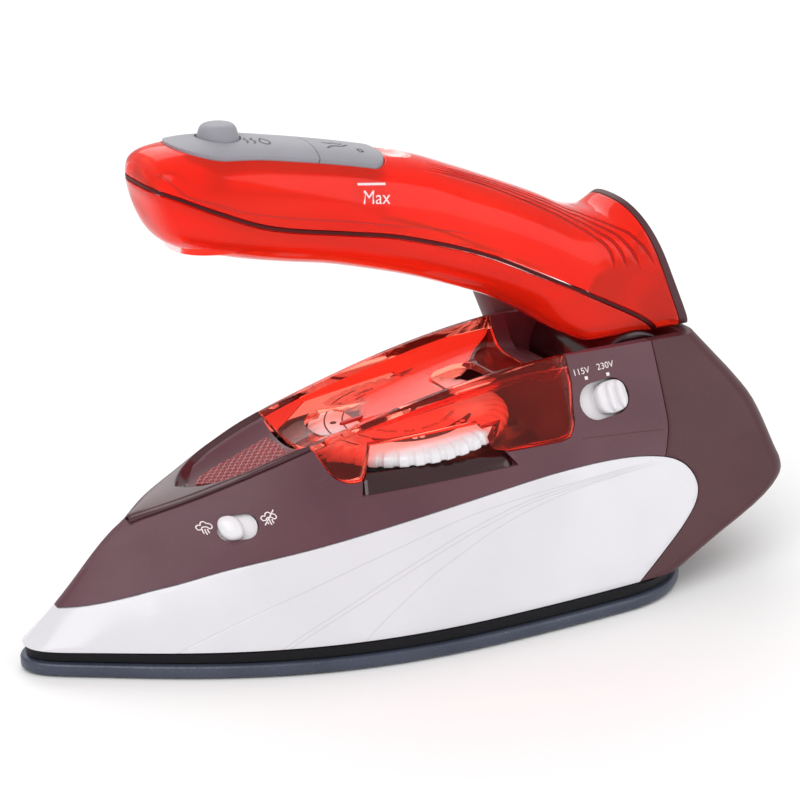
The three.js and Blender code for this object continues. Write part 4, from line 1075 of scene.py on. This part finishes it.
def handle_point(s, angle, inset=0.0):
    """A point on the handle: s counts the rungs from the front, and the angle runs round the ring."""
    bx, bz, tx, tz, half = (value(max(s, 0)) for value in rung_lines)
    low, high = Vector((bx, 0, bz)), Vector((tx, 0, tz))
    size = math.sin(math.pi / 2 * (s + 1)) if s < 0 else 1
    ahead = 0.8 * math.cos(math.pi / 2 * (s + 1)) if s < 0 else 0
    tall = max((high - low).length / 2 - inset, 0.6) * size
    wide = max(half - inset, 0.6) * size
    root = min(max((s - 12) / 2, 0), 1)
    power = 2.4 + 7 * root if math.sin(angle) < 0 else 2.5
    across, along = squarish(angle, power)
    return ((low + high) / 2 + (high - low).normalized() * (tall * along)
            + Vector((-ahead, wide * across, 0)))


def handle_form(name, inset, sides, first, per_rung):
    places = [-0.86, -0.62, -0.38, -0.16] if first == 0 else []
    places += [first + i / per_rung for i in range((16 - first) * per_rung + 1)]
    return ring_solid(name, [[handle_point(s, 2 * math.pi * (i + 0.5) / sides, inset) for i in range(sides)]
                             for s in places])

seam_line = bent([(-70, 120.6), (-62, 119), (-52.4, 116.2), (-41.4, 111.2), (-27.4, 105.6), (-7, 101.4),
                  (7.9, 98.2), (30.2, 90.8), (48.3, 82.2), (67, 72.8), (78, 66.6), (84, 61), (90, 54)], 60)


def over_seam(offset):
    return side_prism("over_seam", moved(seam_line, offset) + [(120, 54), (120, 140), (-70, 140)])


def behind_rim(depth):
    return side_prism("behind_rim", [(95.4 - depth, 55.5), (75.4 - depth, 104.4), (130, 104.4), (130, 55.5)])

form = handle_form("handle_form", 0, 80, 0, 6)
hollow = handle_form("handle_hollow", THICKNESS, 80, 1, 6)
rim_cut = behind_rim(2.8)
drum_room = drum("drum_room", HINGE, 12.0, 60, (0, 1, 0), 72)
print("handle form:", len(form.data.polygons), "faces")

# %% Tank
def pad_outline(grow):
    front, rear, half = -47.5 - grow, 7 + grow, 10.4 + grow
    side = [(front + 11 * (1 - math.cos(a)), half * math.sin(a) ** 0.8)
            for a in [math.pi / 2 * i / 14 for i in range(15)]]
    side += [(rear - 6 + 6 * math.sin(a), half - 6 * (1 - math.cos(a)))
             for a in [math.pi / 2 * i / 8 for i in range(1, 9)]]
    return [(x, -y) for x, y in side] + [(x, y) for x, y in reversed(side[1:])]

above_seam, below_seam = over_seam(0.7), over_seam(-0.7)
pad_room = plan_prism("pad_room", pad_outline(0.3), 100, 140)
start()
bpy.ops.mesh.primitive_uv_sphere_add(segments=48, ring_count=24, radius=9 * MM, location=(0.0125, 0, 0.1232))
bpy.ops.object.transform_apply(location=True)
thumb_dish = bpy.context.object
tank = cut(copy_of(form, "tank_shell"), above_seam, way="INTERSECT")
cut(tank, hollow, pad_room, thumb_dish, rim_cut, drum_room)

# %% Grip grooves with painted shade lines in them, and a painted shade line along the crease above the seam
UPPER_GROOVE = [(9.0, 70), (10.8, 73), (12.2, 70), (13.6, 69), (15.0, 50), (15.45, 27), (15.65, 3)]
LOWER_GROOVE = [(8.8, 56), (10.2, 58), (11.6, 51), (12.9, 45), (13.9, 36), (14.3, 24), (14.4, 8)]
CREASE_SHADE_KNOTS = [(0.0, 42), (1.2, 24), (2.5, 10), (3.9, 3), (5.1, -2), (6.9, -3), (8.1, -2), (9.3, 0), (10.4, 2)]


def skin_bar(name, side, knots, radius, sink=0.0):
    """A thin bar along the handle's skin. Each knot is a rung and an angle in degrees."""
    path = curve_through([(rung, turn_at, 0) for rung, turn_at in knots], 72)
    spots = [handle_point(p.x, math.radians(p.y)) for p in path]
    rings = []
    for i, (p, middle) in enumerate(zip(path, spots)):
        away = (middle - handle_point(p.x, math.radians(p.y), 1.0)).normalized()
        ahead = (spots[min(i + 1, 72)] - spots[max(i - 1, 0)]).normalized()
        across = ahead.cross(away)
        deep = radius * min(1, (i + 0.2) / 6, (72.2 - i) / 6)
        ring = []
        for k in range(8):
            turn_at = 2 * math.pi * k / 8
            spot = middle + away * (deep * math.cos(turn_at) - sink) + across * deep * math.sin(turn_at)
            ring.append((spot.x, side * spot.y, spot.z))
        rings.append(ring)
    return ring_solid(name, rings)

for side, place in ((-1, "near"), (1, "far")):
    for number in range(4):
        knots = [(a[0] + (b[0] - a[0]) * number / 3, a[1] + (b[1] - a[1]) * number / 3)
                 for a, b in zip(UPPER_GROOVE, LOWER_GROOVE)]
        carve(tank, skin_bar("groove", side, knots, 0.45))
        # A thin dark bar sunk under each groove is painted shade in the groove.
        shade_line = skin_bar(f"grip_groove_shade_{number}_{place}", side, knots, 0.2, 0.3)
        done(shade_line, "handle", "groove_shade_red", "clear_red", angle=60)
    # A thin dark bar along the crease above the seam is painted shade.
    shade_line = skin_bar(f"handle_crease_shade_{place}", side, CREASE_SHADE_KNOTS, 0.14, 0.1)
    done(shade_line, "handle", "groove_shade_red", "clear_red", angle=60)
round_edges(tank, 0.3, 2, 50)
done(tank, "handle", "clear_red", "clear_red", "handle_tank", angle=36)

# %% Lower shell, gasket and rear plate
shell = cut(copy_of(form, "lower_shell"), below_seam, hollow, rim_cut, drum_room)
round_edges(shell, 0.3, 2, 50)
done(shell, "handle", "clear_red", "clear_red", "handle_lower_shell", angle=36)

seal_low, seal_high = over_seam(-0.4), over_seam(0.4)
seal_hollow = handle_form("seal_hollow", 2.0, 56, 1, 4)
gasket = cut(handle_form("gasket", 0.15, 72, 0, 4), seal_low, way="INTERSECT")
cut(gasket, seal_high, seal_hollow, rim_cut, drum_room)
done(gasket, "handle", "seal_dark", "seal_dark", "tank_seal")

rim_face = Vector((48.9, 0, 20)).normalized()


def on_rim(side, out):
    return Vector((89, side * 10, 71)) + rim_face * out

plate_cut = behind_rim(2.5)
plate = cut(copy_of(form, "handle_rear_plate"), plate_cut, way="INTERSECT")
for side in (-1, 1):
    carve(plate, drum("boss", on_rim(side, -5), 3, 6, rim_face, 40), way="UNION")
    recess = drum("recess", on_rim(side, 0.8), 2.8, 4.4, rim_face, 40)
    pilot = drum("pilot", on_rim(side, -3), 1.5, 6, rim_face, 24)
    carve(plate, recess, pilot)
cut(plate, drum_room)
round_edges(plate, 0.5, 3, 50)
done(plate, "handle", "rear_brown", "dark_gloss", "handle_rear_cover", angle=40)

# %% [markdown]
# ## Grip pad, filler flap and steam button
# A soft grey pad sits in the top of the tank. It is the handle's own form, grown a little and cut with
# a plan outline, so it keeps the curve under the thumb. The flap behind it covers the filler opening.

# %% Pad and flap
def flap_line(x):
    return side_prism("flap_line", [(x + 1.5, 125), (x - 1.5, 114), (-80, 114), (-80, 140), (x + 1.5, 140)])

BUTTON_X = -34.5
pad_plan = plan_prism("pad_plan", pad_outline(0), 112, 140)
pad = cut(handle_form("grip_pad", -0.6, 80, 0, 6), pad_plan, way="INTERSECT")
cut(pad, hollow)
flap = copy_of(pad, "filler_flap_cover")
pad_part, flap_part = flap_line(-12.8), flap_line(-12.5)
button_hole = drum("button_hole", (BUTTON_X, 0, 125), 5.6, 30, sides=64)
cut(pad, pad_part, way="INTERSECT")
cut(pad, button_hole)
toe = side_prism("toe", [(-40, 100), (-13.7, 100), (-13.7, 140), (-40, 140)], -20, 20)
cut(flap, flap_part, toe)
round_edges(pad, 0.6, 3, 50)
round_edges(flap, 0.6, 3, 50)
done(pad, "handle", "soft_grey", "soft_grey", "button_pad", angle=45)
done(flap, "flap", "soft_grey", "soft_grey", "filler_flap", angle=45)

# %% Steam button
profile = [(2, 113), (2, 119.5), (5.3, 119.5), (5.3, 124.0), (5.2, 124.8), (4.95, 126), (4.65, 127.2),
           (4.4, 127.9), (4.05, 128.4), (3.5, 128.74), (2.7, 128.9), (1.2, 128.9), (0.3, 128.86)]
turns = [2 * math.pi * i / 64 for i in range(64)]
button = ring_solid("steam_button_cap", [[(BUTTON_X + r * math.cos(a), r * math.sin(a), z) for a in turns]
                                         for r, z in profile])
done(button, "button", "soft_grey", "soft_grey", "steam_button", angle=50)

# %% Frosted thumb dish
def lay_on(piece, target, place, toward, lift=0.06):
    """Drops every point of a flat drawing along a direction until it lies on the target."""
    toward = Vector(toward)
    for vertex in piece.data.vertices:
        begin = Vector(place(vertex.co.x / MM, vertex.co.y / MM)) * MM
        hit, spot = target.ray_cast(begin, toward)[:2]
        vertex.co = (spot if hit else begin) - toward * lift * MM


FROST_X, FROST_RADIUS = 12.3, 5.1


def dish_point(u, v):
    r, angle = FROST_RADIUS * v, 2 * math.pi * u
    return FROST_X + r * math.cos(angle), r * math.sin(angle), 0

frost = shaped_grid("thumb_dish_frost", 60, 10, dish_point)
lay_on(frost, tank, lambda a, b: (a, b, 140), (0, 0, -1), 0.05)
done(frost, "handle", "frosted_red", "clear_red", angle=60)

# %% Marks on the pad and the tank
bar = stroke("tank_mark_bar", [(-4.0, 0), (0, 0), (4.0, 0)], 0.55, 24)
word = word_mesh("tank_mark_word", "Max", 4.6)
turn_at = math.radians(-8)
for piece, x, z in ((bar, -0.3, 112.6), (word, 0.3, 107.9)):
    lay_on(piece, tank, lambda a, b: (x + a * math.cos(turn_at) - b * math.sin(turn_at), -40,
                                      z + a * math.sin(turn_at) + b * math.cos(turn_at)), (0, 1, 0))
    done(piece, "handle", "ink_white", "clear_red", angle=10)

drop_shape = [(0, 2.2), (-1.0, 0.6), (-1.3, -0.4), (-0.8, -1.3), (0, -1.6), (0.8, -1.3), (1.3, -0.4),
              (1.0, 0.6)]
picture = join(stroke("pad_pictogram", drop_shape, 0.45, 48, True),
               stroke("jet", [(-3.4, -1.6), (-2.6, -0.4), (-3.2, 0.8), (-2.4, 2.0)], 0.5, 16),
               stroke("jet", [(-5.2, -1.4), (-4.5, -0.3), (-5.0, 0.7), (-4.3, 1.7)], 0.5, 16))
lay_on(picture, pad, lambda a, b: (-24.4 + a, -4.4 + b, 140), (0, 0, -1))
done(picture, "handle", "ink_black", "soft_grey", angle=10)
picture = join(stroke("flap_pictogram", [(-3.6, -2.2), (-1.4, -0.6), (1.2, -0.2), (3.6, 1.4)], 0.5, 24),
               stroke("level", [(-3.0, 1.9), (-1.6, 1.2), (-0.2, 2.0), (1.2, 1.3), (2.4, 2.2)], 0.45, 32),
               stroke("ring", [(4.8, -1.4), (5.8, -0.9), (6.2, -2.0), (5.2, -2.6)], 0.4, 24, True))
lay_on(picture, flap, lambda a, b: (-4.6 + a, -3.6 + b, 140), (0, 0, -1))
done(picture, "flap", "ink_black", "soft_grey", angle=10)

# %% [markdown]
# ## Sole, heat shield and hinge
# The sole is a leaf-shaped plate with a softly rounded edge and the steam holes in its face. A black
# heat shield keeps the skirt off it. The hinge's drum and the cord's gland close the rear.

# %% Soleplate
def sole_outline(inset, count=110):
    """The sole's leaf, drawn in by an amount. Its heel begins to round at 145.6 mm from the tip."""
    side = []
    for i in range(count + 1):
        run = SOLE_LENGTH * (1 - math.cos(math.pi * i / count)) / 2
        rounding = min(max((run - 145.6) / 34.4, 0), 1)
        side.append((run, leaf(run, 44.9) * math.sqrt(max(1 - rounding ** 2.6, 0))))
    near = [(x, -y) for x, y in side]
    path = near[:-1] + [(x, y) for x, y in reversed(side)][:-1]
    shrink = []
    for i, (x, y) in enumerate(path):
        ahead, back = path[(i + 1) % len(path)], path[i - 1]
        nx, ny = ahead[1] - back[1], back[0] - ahead[0]
        size = math.hypot(nx, ny)
        shrink.append((x - SOLE_LENGTH / 2 - inset * nx / size, y - inset * ny / size))
    return shrink

sole = ring_solid("sole", [[(x, y, z) for x, y in sole_outline(inset)]
                           for z, inset in ((0.0, 1.0), (0.08, 0.55), (0.3, 0.2), (0.7, 0.0), (2.5, 0.0),
                                            (2.95, 0.2), (3.2, 0.6))])
core = plan_prism("core", [(x * 0.86 + 2, y * 0.66) for x, y in sole_outline(0, 60)], 3.1, 11)
carve(sole, core, way="UNION")
for x in (-48, -41, -34, -27):
    for side in (-1, 1):
        carve(sole, drum("hole", (x, side * (15 + x / 5), 1), 1.5, 4, sides=24))
done(sole, "base", "sole_coating", "sole_coating", "soleplate", angle=40)

shield = ring_solid("shield", [[(x, y, z) for x, y in sole_outline(1.3 + inset)]
                               for z, inset in ((3.5, 0.25), (3.65, 0), (5.7, 0), (5.9, 0.25))])
shield_room = plan_prism("shield_room", [(x * 0.84 + 2, y * 0.7) for x, y in sole_outline(0, 60)], 0, 10)
carve(shield, shield_room)
done(shield, "base", "black_shield", "black_shield", "heat_shield", angle=40)

# %% Hinge drum and gland
hinge = drum("hinge_drum_body", HINGE, 11.7, 32.4, (0, 1, 0), 96)
carve(hinge, drum("pin_room", HINGE, 3.9, 60, (0, 1, 0), 48))
round_edges(hinge, 0.8, 3, 50)
done(hinge, "handle", "dark_gloss", "dark_gloss", "hinge_drum", angle=40)

foot, mouth = Vector((65.3, 25, 52)), Vector((55.8, 26.5, 71))
along = mouth - foot
gland = drum("gland_sleeve", (foot + mouth) / 2, 6.6, along.length, along, 64, 4.8)
bore_from, bore_to = Vector((63.3, 25.4, 57)), Vector((54.3, 26.8, 74))
bore = drum("bore", (bore_from + bore_to) / 2, 3, (bore_to - bore_from).length, bore_to - bore_from, 40)
body_room = copy_of(hull, "body_room")
for vertex in body_room.data.vertices:
    vertex.co.y += 0.45 * MM
carve(gland, body_room, bore)
round_edges(gland, 0.6, 3, 50)
done(gland, "base", "gland_grey", "gland_grey", "cord_gland", angle=45)

# %% Finishes of the parts that stay as packed
for part in frame["record"]["subparts"]:
    node = frame["nodes"][part["node"]]
    node.data.materials.clear()
    node.data.materials.append(finishes[part["material_slot"]])
drop(form, hollow, rim_cut, drum_room, above_seam, below_seam, pad_room, thumb_dish, seal_low, seal_high,
     seal_hollow, plate_cut, pad_plan, pad_part, flap_part, button_hole, toe)

# %% Painted shade along the crease between the cover and the rear shell
wall_shade_path = [(x, z / LEAN) for x, z in ((51.5, 42.8), (60, 42.2), (68, 41.7), (76.2, 41))]
# A thin dark stroke laid on the wall is painted shade where the wall creases.
wall_shade_stroke = stroke("wall_crease_shade", wall_shade_path, 0.26, 40)
lay_on_wall(wall_shade_stroke, 0, 0, lift=0.03)
done(wall_shade_stroke, "base", "rear_brown", "aubergine_satin")

# %% Clearing away the cutting forms
drop(hull, inner, trough, well, skirt_region, skirt_wide, heel_region, heel_wide, cover_region, cover_wide,
     well_block, nose_roof, cavity, walls, deck_space, tray_box, *notch, *openings)
